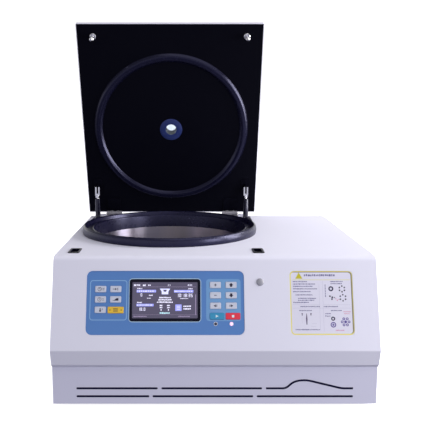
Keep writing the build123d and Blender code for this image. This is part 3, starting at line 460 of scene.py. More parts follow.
def gloss_black(name, colour, rough=0.12, coat=0.4, level=0.5):
    """Glossy black lacquer with fine scratches."""
    n = Nodes(name)
    n.into(n.blend(n.noise(30, 3), colour, shade(colour, 1.4)), "Base Color")
    n.into(n.spread(n.noise(220, 5, 0.7), rough * 0.85, rough * 1.3, 0.35, 0.8), "Roughness")
    n.bump((n.noise(1.0, 3, 0.5, n.mapped((900, 900, 60))), 0.000006))
    n.set(Coat_Weight=coat, Coat_Roughness=0.06, Specular_IOR_Level=level, Specular_Tint=BLUISH)
    return n.material


def copper(name):
    """Drawn copper tube, tarnished in patches."""
    n = Nodes(name)
    dull = n.spread(n.noise(45, 6, 0.7), 0, 1, 0.45, 0.65)
    n.into(n.blend(dull, (0.72, 0.35, 0.20), (0.40, 0.19, 0.12)), "Base Color")
    n.into(n.spread(n.noise(80, 5), 0.18, 0.5), "Roughness")
    n.bump((n.noise(600, 2), 0.00003))
    n.set(Metallic=1.0)
    return n.material


def foam(name):
    """Cut polyurethane foam with open cells and yellowed patches."""
    n = Nodes(name)
    n.into(n.blend(n.noise(14, 4), (0.72, 0.63, 0.40), (0.60, 0.48, 0.26)), "Base Color")
    n.set(Roughness=0.95)
    n.bump((n.voronoi(380), 0.0006), (n.noise(60, 5), 0.0006))
    return n.material


def circuit_board(name):
    """Green solder mask over faint copper tracks."""
    n = Nodes(name)
    tracks = n.spread(n.noise(1.0, 1, 0.5, n.mapped((500, 60, 60))), 0, 1, 0.48, 0.52)
    n.into(n.blend(tracks, (0.012, 0.09, 0.035), (0.025, 0.17, 0.06)), "Base Color")
    n.into(n.spread(n.noise(90, 4), 0.2, 0.4), "Roughness")
    n.bump((tracks, 0.00003))
    return n.material


def overlay_film(name, colour, rough=0.38):
    """Printed polyester film: fine grain and a soft sheen."""
    return surface(name, (12, 4), colour, shade(colour, 0.92), (40, 5, 0.6), (rough - 0.05, rough + 0.08),
                   (((2200, 2), 0.000015), ((40, 2), 0.00003)), Coat_Weight=0.15, Coat_Roughness=0.3)


def ink(name, colour, glow=0.0):
    """Printed or lit graphics with slight unevenness."""
    lit = {"Emission_Color": (*colour, 1), "Emission_Strength": glow} if glow else {}
    return surface(name, (300, 3), colour, shade(colour, 0.85), (90, 3), (0.30, 0.40),
                   (((1500, 2), 0.00001),), **lit)


def screen(name, colour, glow):
    """Backlit display surface: pixel rows, slightly uneven backlight."""
    n = Nodes(name)
    rows = n.noise(1.0, 0, 0.5, n.mapped((60, 9000, 9000)))
    n.into(n.blend(n.spread(n.noise(14, 3), 0, 1), colour, shade(colour, 0.8)), "Base Color")
    n.into(n.spread(n.noise(70, 3), 0.10, 0.2), "Roughness")
    n.bump((rows, 0.000004))
    n.set(Emission_Color=(*colour, 1), Emission_Strength=glow, Coat_Weight=0.6, Coat_Roughness=0.05)
    return n.material


def clear_glass(name, tint):
    """Clear pane with fingerprints in its roughness."""
    n = Nodes(name)
    n.into(n.spread(n.noise(50, 6, 0.7), 0.02, 0.12, 0.45, 0.8), "Roughness")
    n.bump((n.noise(25, 2), 0.00002))
    n.into(n.blend(n.noise(9, 3), tint, shade(tint, 0.9)), "Base Color")
    n.set(Transmission_Weight=0.9, IOR=1.5)
    return n.material


def radial_alloy(name, colour, rough=0.28):
    """Turned anodised aluminium: tool marks run round the rotor axis, and edges are painted lighter as a painted
    highlight.
    """
    n = Nodes(name)
    marks = n.turned(0.5, 1400)[0]
    base = n.blend(n.spread(marks, 0, 1, 0.3, 0.7), colour, shade(colour, 0.85))
    # Painted highlight: edges lighter in the base colour.
    n.into(n.blend(n.edge(), base, shade(colour, 1.3, 0.04)), "Base Color")
    n.into(n.spread(n.noise(35, 5), rough - 0.06, rough + 0.1), "Roughness")
    n.bump((marks, 0.00002))
    n.set(Metallic=1.0)
    return n.material


M = {
    "white_enamel": enamel("white_enamel", WHITE, 0.55),
    "lid_enamel": enamel("lid_enamel", (0.82, 0.81, 0.93), 0.50),
    # The skirt's enamel is a darker copy of the white enamel: painted shade under the overhang of the front panel.
    "skirt_shaded_enamel": enamel("skirt_shaded_enamel", (0.665, 0.66, 0.82), 0.55),
    "zinc_steel": metal("zinc_steel", (0.56, 0.57, 0.58), 0.38, (120, 120, 40)),
    "foot_rubber": rubber("foot_rubber", (0.018, 0.018, 0.02), 0.7),
    "screw_steel": metal("screw_steel", (0.62, 0.62, 0.64), 0.26, (700, 700, 700), 0.00002),
    "stainless": stainless_bowl(),
    "copper": copper("copper"),
    "foam": foam("foam"),
    "gasket_rubber": rubber("gasket_rubber", (0.004, 0.0035, 0.016), 0.28, 0.000002),
    "motor_paint": powder_black("motor_paint", (0.03, 0.045, 0.07), 0.4),
    "rotor_alloy": radial_alloy("rotor_alloy", (0.50, 0.50, 0.52)),
    "bucket_alloy": metal("bucket_alloy", (0.40, 0.41, 0.44), 0.3, (300, 300, 1200), 0.00002),
    "fin_aluminium": metal("fin_aluminium", (0.58, 0.59, 0.60), 0.35, (1200, 200, 60), 0.0002),
    "black_plastic": moulded("black_plastic", (0.012, 0.012, 0.014), 0.42),
    "panel_blue": overlay_film("panel_blue", srgb(83, 130, 197)),
    "board_green": circuit_board("board_green"),
    "display_glass": gloss_black("display_glass", (0.004, 0.004, 0.009), 0.2, 0.05, 0.25),
    "lamp_lens": moulded("lamp_lens", (0.85, 0.30, 0.38), 0.2, 0.00001),
    "white_plastic": moulded("white_plastic", (0.36, 0.36, 0.42), 0.22, 0.00002),
    "bright_steel": chrome("bright_steel", (0.84, 0.84, 0.86)),
    "liner_black": moulded("liner_black", (0.0016, 0.0016, 0.0052), 0.5, 0.00005, 1300, 0.05),
    "sight_glass": clear_glass("sight_glass", (0.75, 0.84, 0.95)),
    "hinge_steel": metal("hinge_steel", (0.33, 0.32, 0.37), 0.4, (1500, 200, 200), 0.00003, 0.35),
    "bracket_black": powder_black("bracket_black", (0.0016, 0.0016, 0.0052), 0.5, 0.05),
    "tube_black": gloss_black("tube_black", (0.003, 0.003, 0.009), 0.2, 1.0, 0.3),
    "socket_black": gloss_black("socket_black", (0.003, 0.003, 0.011), 0.3, 0.0, 0.06),
    "key_grey": moulded("key_grey", srgb(208, 212, 230), 0.4, 0.00002, 1500),
    "key_yellow": moulded("key_yellow", srgb(240, 196, 60), 0.4, 0.00002, 1500),
    "key_teal": moulded("key_teal", srgb(52, 150, 196), 0.4, 0.00002, 1500),
    "key_red": moulded("key_red", srgb(236, 52, 78), 0.4, 0.00002, 1500),
}
SPECIAL = {"lid_shell": "lid_enamel", "front_skirt": "skirt_shaded_enamel", "latch_sockets": "socket_black"}
for part in frame["record"]["subparts"]:
    obj = NODES[part["node"]]
    obj.data.materials.clear()
    obj.data.materials.append(M[SPECIAL.get(part["node"], part["material_slot"])])


# ---------------------------------------------------------------- flat graphics
FILM = 0.05 * MM             # thickness of a printed layer


def boxes(name, rects, low, high, matrix):
    """Many thin rectangular marks (x0, x1, y0, y1) as one mesh."""
    bm = bmesh.new()
    for x0, x1, y0, y1 in rects:
        ring = ((x0, y0), (x1, y0), (x1, y1), (x0, y1))
        lower = [bm.verts.new((x, y, low)) for x, y in ring]
        upper = [bm.verts.new((x, y, high)) for x, y in ring]
        bm.faces.new(upper)
        bm.faces.new(lower[::-1])
        for k in range(4):
            n = (k + 1) % 4
            bm.faces.new((lower[k], lower[n], upper[n], upper[k]))
    return from_bmesh(name, bm, matrix)


def prints(name, rects, level, place, material):
    """Flat printed marks in millimetres, one film thick, as a piece of the casing."""
    dress(boxes(name, scaled(rects), level, level + FILM, place), material, "root")


def script(x0, x1, y, height, seed, tight=0.35):
    """A row of little blocks that stands for a line of print, with no letters in it."""
    dice = random.Random(seed)
    rects = []
    x = x0
    while x < x1:
        width = height * dice.uniform(0.35, 0.95)
        rects.append((x, min(x + width, x1), y - height / 2 * dice.uniform(0.6, 1.0),
                      y + height / 2 * dice.uniform(0.6, 1.0)))
        x += width + height * dice.uniform(0.12, tight)
    return rects


SEGMENTS = {"0": "abcdef", "1": "bc", "2": "abged", "3": "abgcd", "4": "fgbc", "5": "afgcd",
            "6": "afgedc", "7": "abc", "8": "abcdefg", "9": "abcdfg"}


def digits(text, x, y, height):
    """Seven-segment figures as rectangles, lower left corner at (x, y)."""
    w = height * 0.52
    t = height * 0.15
    h = height
    bars = {"a": (0, w, h - t, h), "g": (0, w, h / 2 - t / 2, h / 2 + t / 2), "d": (0, w, 0, t),
            "f": (0, t, h / 2, h), "b": (w - t, w, h / 2, h), "e": (0, t, 0, h / 2),
            "c": (w - t, w, 0, h / 2)}
    rects = []
    for char in text:
        if char in ".:":
            for up in ((0,) if char == "." else (h * 0.22, h * 0.64)):
                rects.append((x, x + t, y + up, y + up + t))
            x += t * 2.2
            continue
        for name in SEGMENTS[char]:
            x0, x1, y0, y1 = bars[name]
            rects.append((x + x0, x + x1, y + y0, y + y1))
        x += w + t * 1.3
    return rects


def scaled(rects):
    """Millimetre rectangles in metres."""
    return [tuple(value * MM for value in rect) for rect in rects]


def polygon(points):
    """Millimetre points in metres."""
    return [(x * MM, y * MM) for x, y in points]


def wheel(x, y, radius, start, outer, inner=0):
    """Six equal rings or discs on a circle, as rows for ring_marks."""
    turns = [math.radians(60 * k + start) for k in range(6)]
    return [(x + radius * math.cos(a), y + radius * math.sin(a), outer, inner) for a in turns]


def ring_marks(name, rings, low, high, matrix):
    """Several rings or discs (x, y, outer, inner) in millimetres as one piece."""
    parts = []
    for k, (x, y, outer, inner) in enumerate(rings):
        holes = [circle_points(inner * MM, 32)] if inner else []
        place = matrix @ Matrix.Translation((x * MM, y * MM, 0))
        parts.append(slab(f"{name}_{k}", circle_points(outer * MM, 32), low, high, place, holes=holes))
    return joined(name, parts)


# ---------------------------------------------------------------- control panel
def fascia_points(node):
    """A CAD node's vertices in the fascia frame."""
    inverse = FASCIA.inverted()
    return [inverse @ v.co for v in NODES[node].data.vertices]


def fascia_box(node):
    """Extent of a CAD node's outer face in the fascia frame: x0, x1, y0, y1, top."""
    points = fascia_points(node)
    top = max(p.z for p in points)
    face = [p for p in points if p.z > top - 1.2 * MM]
    return (min(p.x for p in face), max(p.x for p in face),
            min(p.y for p in face), max(p.y for p in face), top)


def fascia_place(x, y):
    """Local frame at a point of the fascia."""
    return FASCIA @ Matrix.Translation((x, y, 0))


KEYS = sorted(n for n in NODES if n.startswith("key_"))
KEY_BOX = {n[4:]: fascia_box(n) for n in KEYS}
LEFT_KEYS = ("speed", "time", "temperature", "force", "ramp", "menu")
RIGHT_KEYS = ("plus", "minus", "left", "up", "down", "right", "start", "stop")


def field(names, left, right, top, bottom):
    """Width, height and centre of a field round some keys, with margins in millimetres."""
    x0 = min(KEY_BOX[n][0] for n in names) - left * MM
    x1 = max(KEY_BOX[n][1] for n in names) + right * MM
    y0 = min(KEY_BOX[n][2] for n in names) - bottom * MM
    y1 = max(KEY_BOX[n][3] for n in names) + top * MM
    return x1 - x0, y1 - y0, (x0 + x1) / 2, (y0 + y1) / 2


def panel_prints():
    """Pale fields printed on the blue film, and the light line round the display."""
    pale = overlay_film("print_pale_blue", srgb(140, 184, 226))
    w, h, x, y = field(LEFT_KEYS, 10.9, 7.0, 12.3, 14.8)
    line = 1.6 * MM
    frame_line = rounded_slab("left_field_line", w, h, 6 * MM, OVERLAY_T, OVERLAY_T + FILM, FASCIA, x, y,
                              hole=(w - 2 * line, h - 2 * line, 4.6 * MM))
    dress(frame_line, pale, "root")

    w, h, x, y = field(RIGHT_KEYS, 7.5, 1.6, 5.8, 3.2)
    gap = 0.5 * MM
    holes = []
    for name in RIGHT_KEYS:
        x0, x1, y0, y1, _ = KEY_BOX[name]
        dx, dy = (x0 + x1) / 2 - x, (y0 + y1) / 2 - y
        ring = rounded_outline(x1 - x0 + 2 * gap, y1 - y0 + 2 * gap, 2.3 * MM, 3)
        holes.append([(px + dx, py + dy) for px, py in ring])
    plate = slab("right_field", rounded_outline(w, h, 6 * MM), OVERLAY_T, OVERLAY_T + FILM,
                 fascia_place(x, y), holes=holes)
    dress(plate, overlay_film("print_field_blue", srgb(112, 160, 212)), "root")

    x0, x1, y0, y1, _ = fascia_box("display_window")
    w, h = x1 - x0, y1 - y0
    outline = rounded_slab("display_line", w + 3.6 * MM, h + 3.6 * MM, 8 * MM, OVERLAY_T, OVERLAY_T + FILM,
                           FASCIA, (x0 + x1) / 2, (y0 + y1) / 2, hole=(w + 0.6 * MM, h + 0.6 * MM, 6.2 * MM))
    dress(outline, overlay_film("print_outline", srgb(176, 204, 228)), "root")


SCREEN_W = 138.2 * MM        # opening of the bezel
SCREEN_H = 75.8 * MM


def display():
    """Black bezel, lit screen sunk into it, and generic read-outs."""
    x0, x1, y0, y1, top = fascia_box("display_window")
    w, h = x1 - x0, y1 - y0
    place = fascia_place((x0 + x1) / 2, (y0 + y1) / 2)
    bezel = rounded_slab("display_bezel", w, h, 5.8 * MM, 0.0, top, place, bevel=0.35 * MM,
                         hole=(SCREEN_W, SCREEN_H, 1.5 * MM))
    dress(bezel, M["display_glass"], "root", ["display_window"])
    low = 0.9 * MM
    high = low + FILM
    pane = rounded_slab("display_screen", SCREEN_W + 2 * MM, SCREEN_H + 2 * MM, 1.5 * MM, 0.2 * MM, low, place)
    dress(pane, screen("screen_dark", srgb(92, 86, 112), 0.16), "root")

    white = []
    white += script(-66, -52, 31.7, 4.2, 1) + script(-47, -41, 31.7, 4.2, 2) + script(-36, -30, 31.7, 3.8, 3)
    white += digits("2.4", 6, 30, 3.4) + digits("18:30", 47, 30, 3.4)
    white += script(-59, -48.5, 24.6, 3.0, 4) + digits("0", -51.6, 8, 6.4) + script(-34, -26, 10.4, 2.6, 5)
    white += script(-38, -30, 4.2, 2.0, 6) + script(-59, -49, -4.7, 3.0, 7) + digits("18.0", -56, -22, 6.4)
    white += script(49, 59, 24.2, 2.8, 8) + digits("10:18:35", 25, 6.6, 7.0) + script(32, 49, 3.6, 2.2, 9)
    for k, (y, half) in enumerate(((5.4, 12), (0.8, 14), (-4.2, 17))):
        white += script(-half, half, y, 3.4, 20 + k, 0.2)
    for x in (-11, 4.5):
        white += script(x, x + 6, -11, 3.4, 30 + x, 0.2) + script(x, x + 6, -15.5, 3.0, 31 + x, 0.2)
        white.append((x + 2, x + 4, -22, -18.6))
    white += script(39, 55, -12.6, 3.6, 40, 0.2) + script(39, 55, -18.2, 3.6, 41, 0.2)
    prints("display_marks", white, low, place, ink("lit_white", srgb(226, 224, 246), 0.55))

    bars = [(-60, -19, 16.4, 21.8), (-60, -24, -12.8, -7.6), (19, 60, 16.2, 21.4), (22, 35, -22.4, -9)]
    prints("display_bars", bars, low, place, ink("lit_blue", srgb(150, 154, 238), 0.6))
    dark = []
    for x0b, x1b, y0b, y1b in bars[:3]:
        dark += script(x0b + 1, x1b - 2, (y0b + y1b) / 2, 2.6, int(x0b * 7 + y0b), 0.9)
    dark += [(25, 32, -19.6, -18.6), (25, 32, -16.4, -15.4), (25, 32, -13.2, -12.2)]
    prints("display_bar_marks", dark, high, place, ink("lit_caption", srgb(228, 226, 250), 0.5))

    cup = polygon([(-11, 24.4), (11, 24.4), (7, 18), (7, 12.4), (-7, 12.4), (-7, 18)])
    hub = polygon([(-4, 22), (4, 22), (2.4, 18), (-2.4, 18)])
    icon = slab("display_rotor_icon", cup, low, high, place, holes=[hub])
    dress(icon, ink("lit_icon", srgb(206, 208, 248), 0.65), "root")

    faint = [(-68, 66, 27.8, 28.3), (64, 65.4, -31, 12), (-68, 68, -30.4, -30.1)]
    faint += script(-66, -38, -33.8, 2.4, 50) + script(28, 53, -33.8, 2.4, 51)
    prints("display_faint_marks", faint, low, place, ink("lit_faint", srgb(158, 142, 176), 0.3))
    prints("display_state_line", script(-11, 10, -27, 4.2, 52, 0.2), low, place,
           ink("lit_teal", srgb(176, 216, 228), 0.5))


def bar(x0, x1, y0, y1):
    """A rectangle's four corners."""
    return [(x0, y0), (x1, y0), (x1, y1), (x0, y1)]


ICONS = {
    "plus": [[(-0.7, -2.8), (0.7, -2.8), (0.7, -0.7), (2.8, -0.7), (2.8, 0.7), (0.7, 0.7), (0.7, 2.8),
              (-0.7, 2.8), (-0.7, 0.7), (-2.8, 0.7), (-2.8, -0.7), (-0.7, -0.7)]],
    "minus": [bar(-2.8, 2.8, -0.7, 0.7)],
    "up": [[(-4.6, -0.4), (4.6, -0.4), (0, 4.6)], bar(-2.4, 2.4, -3.8, -0.4)],
    "down": [[(-4.6, 0.4), (0, -4.6), (4.6, 0.4)], bar(-2.4, 2.4, 0.4, 3.8)],
    "left": [[(-4.0, 0), (0.6, -2.9), (0.6, 2.9)], bar(2.0, 3.4, -2.4, 2.4)],
    "right": [[(4.0, 0), (-0.6, 2.9), (-0.6, -2.9)], bar(-3.4, -2.0, -2.4, 2.4)],
    "start": [[(-2.6, -3.0), (3.4, 0), (-2.6, 3.0)]],
    "stop": [bar(-2.6, 2.6, -2.6, 2.6)],
    "menu": [bar(-5, 5, y - 0.6, y + 0.6) for y in (-2.6, 0, 2.6)]
            + [[(-13.5, 0), (-11, -1.8), (-11, 1.8)], [(13.5, 0), (11, 1.8), (11, -1.8)]],
    "ramp": [[(-6, -2.6), (6, -2.6), (6, 2.6), (2, 2.6), (-3, -1.6), (-6, -1.6)]],
    "force": [[(-6.4, -0.6), (-1, -0.6), (-1, -2.6), (2.4, 0), (-1, 2.6), (-1, 0.6), (-6.4, 0.6)],
              bar(3.6, 4.8, -2.6, 2.6)],
    "temperature": [bar(-1, 1, -0.8, 3.4), bar(3, 6, 1.6, 2.4), bar(3, 6, -0.4, 0.4)],
}
# Rim of a round symbol (x, y, outer, inner), its hands and the lines beside it.
DIALS = {
    "speed": ((-2, 0, 4.2, 3.3), [(-2.5, -1.5, 0, 2.8), (-2, 0.4, -0.4, 0.4)],
              [(4, 8, 1.2, 2.2), (4, 8, -2, -1)]),
    "time": ((-2, 0, 4.2, 3.3), [(-2.4, -1.6, 0, 2.6), (-2, 0, -0.4, 0.4)],
             [(4, 7, 0.8, 1.8), (4, 8, -2, -1)]),
    "temperature": ((0, -2.2, 1.9, 0), [], []),
}


def key_icons():
    """Small generic pictograms printed on the key caps."""
    dark = ink("key_ink", srgb(36, 30, 58))
    pale = ink("key_ink_pale", srgb(226, 240, 248))
    for name in sorted(KEY_BOX):
        x0, x1, y0, y1, top = KEY_BOX[name]
        place = fascia_place((x0 + x1) / 2, (y0 + y1) / 2)
        parts = [slab(f"mark_{k}", polygon(outline), top, top + FILM, place)
                 for k, outline in enumerate(ICONS.get(name, []))]
        if name in DIALS:
            rim, *marks = DIALS[name]
            parts.append(ring_marks("dial", [rim], top, top + FILM, place))
            parts += [boxes("marks", scaled(rects), top, top + FILM, place) for rects in marks if rects]
        icon = joined("icon_" + name, parts)
        dress(icon, pale if name in ("start", "stop") else dark, f"key_{name}_body")


QUARTER = [math.radians(90 * k / 8) for k in range(9)]        # a dome's profile, from rim to top


def lamps():
    """The ready lamp is dark, the run lamp is lit; both sit in white rims."""
    points = fascia_points("indicator_lamps")
    top = max(p.z for p in points)
    middle = (min(p.x for p in points) + max(p.x for p in points)) / 2
    lit = moulded("lamp_lit", (1.0, 0.62, 0.80), 0.25, 0.00001)
    glow = lit.node_tree.nodes["Principled BSDF"].inputs
    glow["Emission Color"].default_value = (1.0, 0.42, 0.74, 1)
    glow["Emission Strength"].default_value = 1.1
    dark = moulded("lamp_dark", (0.05, 0.05, 0.09), 0.15, 0.00001)
    rim_white = moulded("lamp_rim", (0.75, 0.78, 0.88), 0.35, 0.00001)
    for name, side, lens in (("lamp_ready", -1, dark), ("lamp_run", 1, lit)):
        own = [p for p in points if (p.x - middle) * side > 0]
        x = (min(p.x for p in own) + max(p.x for p in own)) / 2
        y = (min(p.y for p in own) + max(p.y for p in own)) / 2
        r = (max(p.x for p in own) - min(p.x for p in own)) / 2
        low = min(p.z for p in own)
        place = fascia_place(x, y)
        dome = [(r * math.cos(a), min(top - r * 0.6 + r * math.sin(a), top)) for a in QUARTER]
        lens_piece = lathe(name, [(0, low), (r, low)] + dome, 40, place, closed=False)
        dress(lens_piece, lens, "root", ["indicator_lamps"])
        section = ((0.15, 0), (1.3, 0), (1.2, 0.35), (0.25, 0.35))
        rim = lathe(name + "_rim", [(r + dr * MM, OVERLAY_T + dz * MM) for dr, dz in section], 40, place)
        dress(rim, rim_white, "root")


# ---------------------------------------------------------------- instruction plate
PLATE_SEAT = 0.8 * MM        # the plate's pocket is this much shallower than the panel's
PLATE_X = 330.5 * MM
PLATE_W = 133 * MM


def info_plate():
    """Printed film on the fascia: yellow border, plain marks and pictures, no lettering, and an olive line along
    the border's top and right that is painted shade of the plate's recess.
    """
    place = FASCIA @ Matrix.Translation((PLATE_X, 0, PLATE_SEAT))
    base = 0.18 * MM
    yellow = overlay_film("print_yellow", srgb(236, 226, 128), 0.42)
    # Olive: painted shade of the recess wall along the plate's top and right edges.
    recess_shade = ink("painted_recess_shade", srgb(120, 112, 96))
    lavender = overlay_film("print_lavender", srgb(224, 222, 240), 0.42)
    # Film, painted shade line and field: inset, corner radius, bottom, top, bevel, shift right and up. The olive
    # line is painted recess shade, shifted up and right, and the field is shifted down and left, so the line shows
    # mostly along the top and right.
    for name, paint, inset, radius, bottom, top, bevel, dx, dy in (
            ("plate_film", yellow, 0.0, 9, 0.0, base, 0.06, 0, 0),
            ("plate_painted_shade_line", recess_shade, 2.3, 7, base, base + FILM, 0.0, 0.9, 0.5),
            ("plate_field", lavender, 2.9, 6.4, base + FILM, base + 2 * FILM, 0.0, -0.6, -0.2)):
        shift = Matrix.Translation((dx * MM, dy * MM, 0))
        layer = rounded_slab(name, PLATE_W - 2 * inset * MM, OVERLAY_H - 2 * inset * MM, radius * MM,
                             bottom, top, place @ shift, bevel=bevel * MM)
        dress(layer, paint, "root")
    low = base + 2 * FILM
    high = low + FILM

    dress(slab("plate_triangle", polygon([(-54.5, 50.6), (-39.5, 50.6), (-47, 64)]), low, high, place),
          ink("print_triangle", srgb(206, 196, 40)), "root")
    prints("plate_rule", [(-61, 61, 47.6, 49.0)], low, place, ink("print_rule", srgb(226, 222, 176)))

    grey = script(-36, 30, 58, 5.0, 60, 0.3)
    for k, (y, a, b) in enumerate(((44.4, -60, -30), (39.4, -60, -13), (34.4, -60, -18), (29.2, -60, -9),
                                   (23.2, -60, -23), (16.4, -55, -19), (9, -50, -12), (5.0, -50, -16),
                                   (0.4, -60, -27), (-8.2, -46, -4), (-8.2, 4, 34), (-16.6, -48, -21),
                                   (44.6, 19, 46), (40.2, 20, 44), (-16.4, 18.7, 41.5), (-23, 6, 18),
                                   (-28, 6, 17), (-56.2, -57, -6))):
        grey += script(a, b, y, 2.7, 70 + k)
    grey += [(7.2, 9.4, y, y + 2.0) for y in (36, 32, 28.6, 25.4, 22, 18.6, 15, 12)]
    prints("plate_print", grey, low, place, ink("print_grey", srgb(116, 112, 158)))
    faint = [(-62, -4, -4.4, -4.0), (2.5, 2.9, -60, 46), (-62, 61, -11.6, -11.2), (4, 60, -4.4, -4.0),
             (-5, -4.6, -58, 40), (-43, -42.6, -44, -22), (-22, -12, -43.6, -43.2), (-24, -14, -50, -49.6)]
    prints("plate_rules", faint, low, place, ink("print_faint", srgb(190, 188, 214)))

    dark = [(20.2, 29.4, 5.3, 2.5), (22.5, -33.4, 4.3, 1.9)]
    dark += wheel(43.6, 29, 6.0, 30, 1.7) + wheel(45, 10.4, 6.4, 30, 1.7)
    dark += [(17.6, 13.6, 1.8, 0), (22.6, 11.2, 2.0, 0), (21.6, 7.4, 1.8, 0), (27.2, 10.8, 1.2, 0)]
    pictures = ring_marks("plate_rotor_pictures", dark, low, high, place)
    dress(pictures, ink("print_dark", srgb(44, 38, 78)), "root")
    violet = [(22.5, -46, 5.8, 3.6), (22.5, -46, 2.2, 0), (48.4, -40, 3.0, 0)]
    violet += wheel(48.4, -40, 7.2, 0, 2.9, 1.2)
    pictures = ring_marks("plate_cluster_pictures", violet, low, high, place)
    dress(pictures, ink("print_violet", srgb(98, 84, 160)), "root")
    tubes = (((-33.4, -22.5), (-32.6, -22.5), (-31.4, -34), (-32.2, -46), (-33.8, -46), (-34.6, -34)),
             ((-44, -22), (-40.6, -22), (-42.3, -28.5)), ((-25.6, -22), (-22, -22), (-24, -28.5)))
    parts = [slab(f"tube_{k}", polygon(outline), low, high, place) for k, outline in enumerate(tubes)]
    dress(joined("plate_tube_picture", parts), ink("print_plum", srgb(92, 78, 118)), "root")
    pink = [(29, 31, 7.4, 9.4), (31.8, 33.8, 3.6, 6.2), (34.4, 37, 6.4, 7.4)]
    pink += script(44.5, 60, -19, 2.2, 90) + script(46, 58, -23, 2.0, 91) + script(27, 45, -57.6, 2.6, 92)
    prints("plate_pink_marks", pink, low, place, ink("print_pink", srgb(216, 150, 186)))


# ---------------------------------------------------------------- casing details
CASING_FRONT = CHAMBER.y - 318.2 * MM
LOUVRE_COLUMNS = [CASING_FRONT + (330 + 84 * k) * MM for k in range(3)]
LOUVRE_ROWS = [(62 + 11 * k) * MM for k in range(10)]
HOOD_HALF = 37 * MM
HOOD_RISE = 1.8 * MM
HOOD_DROP = 3.4 * MM
# Sections along a hood, from end to end: place over half its length, and size.
HOOD_SECTIONS = ((-1, 0.02), (-0.93, 0.55), (-0.82, 0.95), (-0.5, 1), (0.5, 1), (0.82, 0.95), (0.93, 0.55),
                 (1, 0.02))


def louvres():
    """Pressed hoods over the cooling slots of both side walls."""
    for side, node in ((-1, "left_side_panel"), (1, "right_side_panel")):
        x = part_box(node)[0 if side < 0 else 1].x
        bm = bmesh.new()
        for y in LOUVRE_COLUMNS:
            for z in LOUVRE_ROWS:
                hood(bm, x, side, y, z)
        obj = soften(from_bmesh(f"{node}_louvres", bm), angle=50)
        dress(obj, M["white_enamel"], "root")


def hood(bm, x, side, y, z):
    """One louvre hood: a quarter bulge that opens downwards, tapering at both ends."""
    quarter = [math.pi / 2 * n / 6 for n in range(7)]

    def skin(thickness, length, sink, squash):
        """The sections of one skin, as rows of vertices."""
        return [[bm.verts.new((x + side * max(0.0, HOOD_RISE * size - thickness) * math.sin(a),
                               y + along * HOOD_HALF * length,
                               z + HOOD_DROP * 0.6 - sink - HOOD_DROP * size * (1 - math.cos(a)) * squash))
                 for a in quarter] for along, size in HOOD_SECTIONS]

    outer = skin(0.0, 1.0, 0.0, 1.0)
    inner = skin(0.6 * MM, 0.985, 0.5 * MM, 0.85)
    for rows, order in ((outer, 1), (inner, -1)):
        for p, q in zip(rows, rows[1:]):
            for n in range(len(quarter) - 1):
                bm.faces.new((p[n], p[n + 1], q[n + 1], q[n])[::order])
    for p, q, r, t in zip(outer, outer[1:], inner, inner[1:]):
        bm.faces.new((p[-1], r[-1], t[-1], q[-1]))


def rear_details():
    """Wire guard over the fan grille and a plain rating plate."""
    fan = Vector(JOINTS["fan_spin"]["pos_m"])
    place = basis(Vector((-1, 0, 0)), UP, Vector((0, 1, 0)), Vector((fan.x, REAR_Y, fan.z)))
    wires = []
    for k in range(7):
        ring = [(x, y, 3.0 * MM) for x, y in circle_points((10 + 11 * k) * MM, 72)]
        wires.append(tube(f"ring_{k}", ring, 0.9 * MM, place, closed=True))
    spoke = ((8, 4.4), (78, 4.4), (82, 2.4), (84, 0.9))
    eye = polygon([(2.2, 0), (5, 0), (5, 1.6), (2.2, 1.6)])
    head = polygon([(0, 1.6), (4.2, 1.6), (3.8, 3.2), (2, 4.0), (0, 4.1)])
    for k in range(4):
        a = math.radians(45 + 90 * k)
        c, s = math.cos(a), math.sin(a)
        wires.append(tube(f"spoke_{k}", [(r * MM * c, r * MM * s, z * MM) for r, z in spoke], 1.1 * MM, place))
        foot = place @ Matrix.Translation((86 * MM * c, 86 * MM * s, 0))
        wires += [lathe(f"eye_{k}", eye, 24, foot), lathe(f"head_{k}", head, 24, foot, closed=False)]
    dress(joined("fan_guard", wires), M["bright_steel"], "root")

    place = place @ Matrix.Translation((240 * MM, 96 * MM, 0))
    plate = rounded_slab("rating_plate", 92 * MM, 58 * MM, 3 * MM, 0, 0.6 * MM, place, bevel=0.15 * MM)
    aluminium = metal("plate_aluminium", (0.62, 0.63, 0.65), 0.34, (30, 30, 900), 0.00001)
    dress(plate, aluminium, "root")
    rows = []
    for k, y in enumerate((14, 7, 0, -7, -14, -21)):
        rows += script(-40, -12, y, 2.4, 100 + k) + script(-6, 34 - 5 * (k % 3), y, 2.4, 120 + k)
    rows += [(-41, 41, 19.6, 20.2), (-41, -40.6, -25, 25), (40.6, 41, -25, 25)]
    prints("rating_plate_print", rows, 0.6 * MM, place, ink("plate_ink", (0.02, 0.02, 0.025)))


def hinge_finish():
    """Bright barrels, black leaves on the lid, white stop blocks on the deck."""
    finishes = (("lid_hinge_arms", M["bracket_black"], lambda dx, r: r > 9.5),
                ("hinge_bases", M["white_enamel"], lambda dx, r: dx > 23.5))
    for node, paint, painted in finishes:
        obj = NODES[node]
        dress(obj, M["hinge_steel"])
        obj.data.materials.append(paint)
        for face in obj.data.polygons:
            middle = obj.matrix_world @ face.center
            dx = abs(abs(middle.x - CHAMBER.x) - 172 * MM) / MM
            radius = math.hypot(middle.y - HINGE.y, middle.z - HINGE.z) / MM
            face.material_index = 1 if painted(dx, radius) else 0


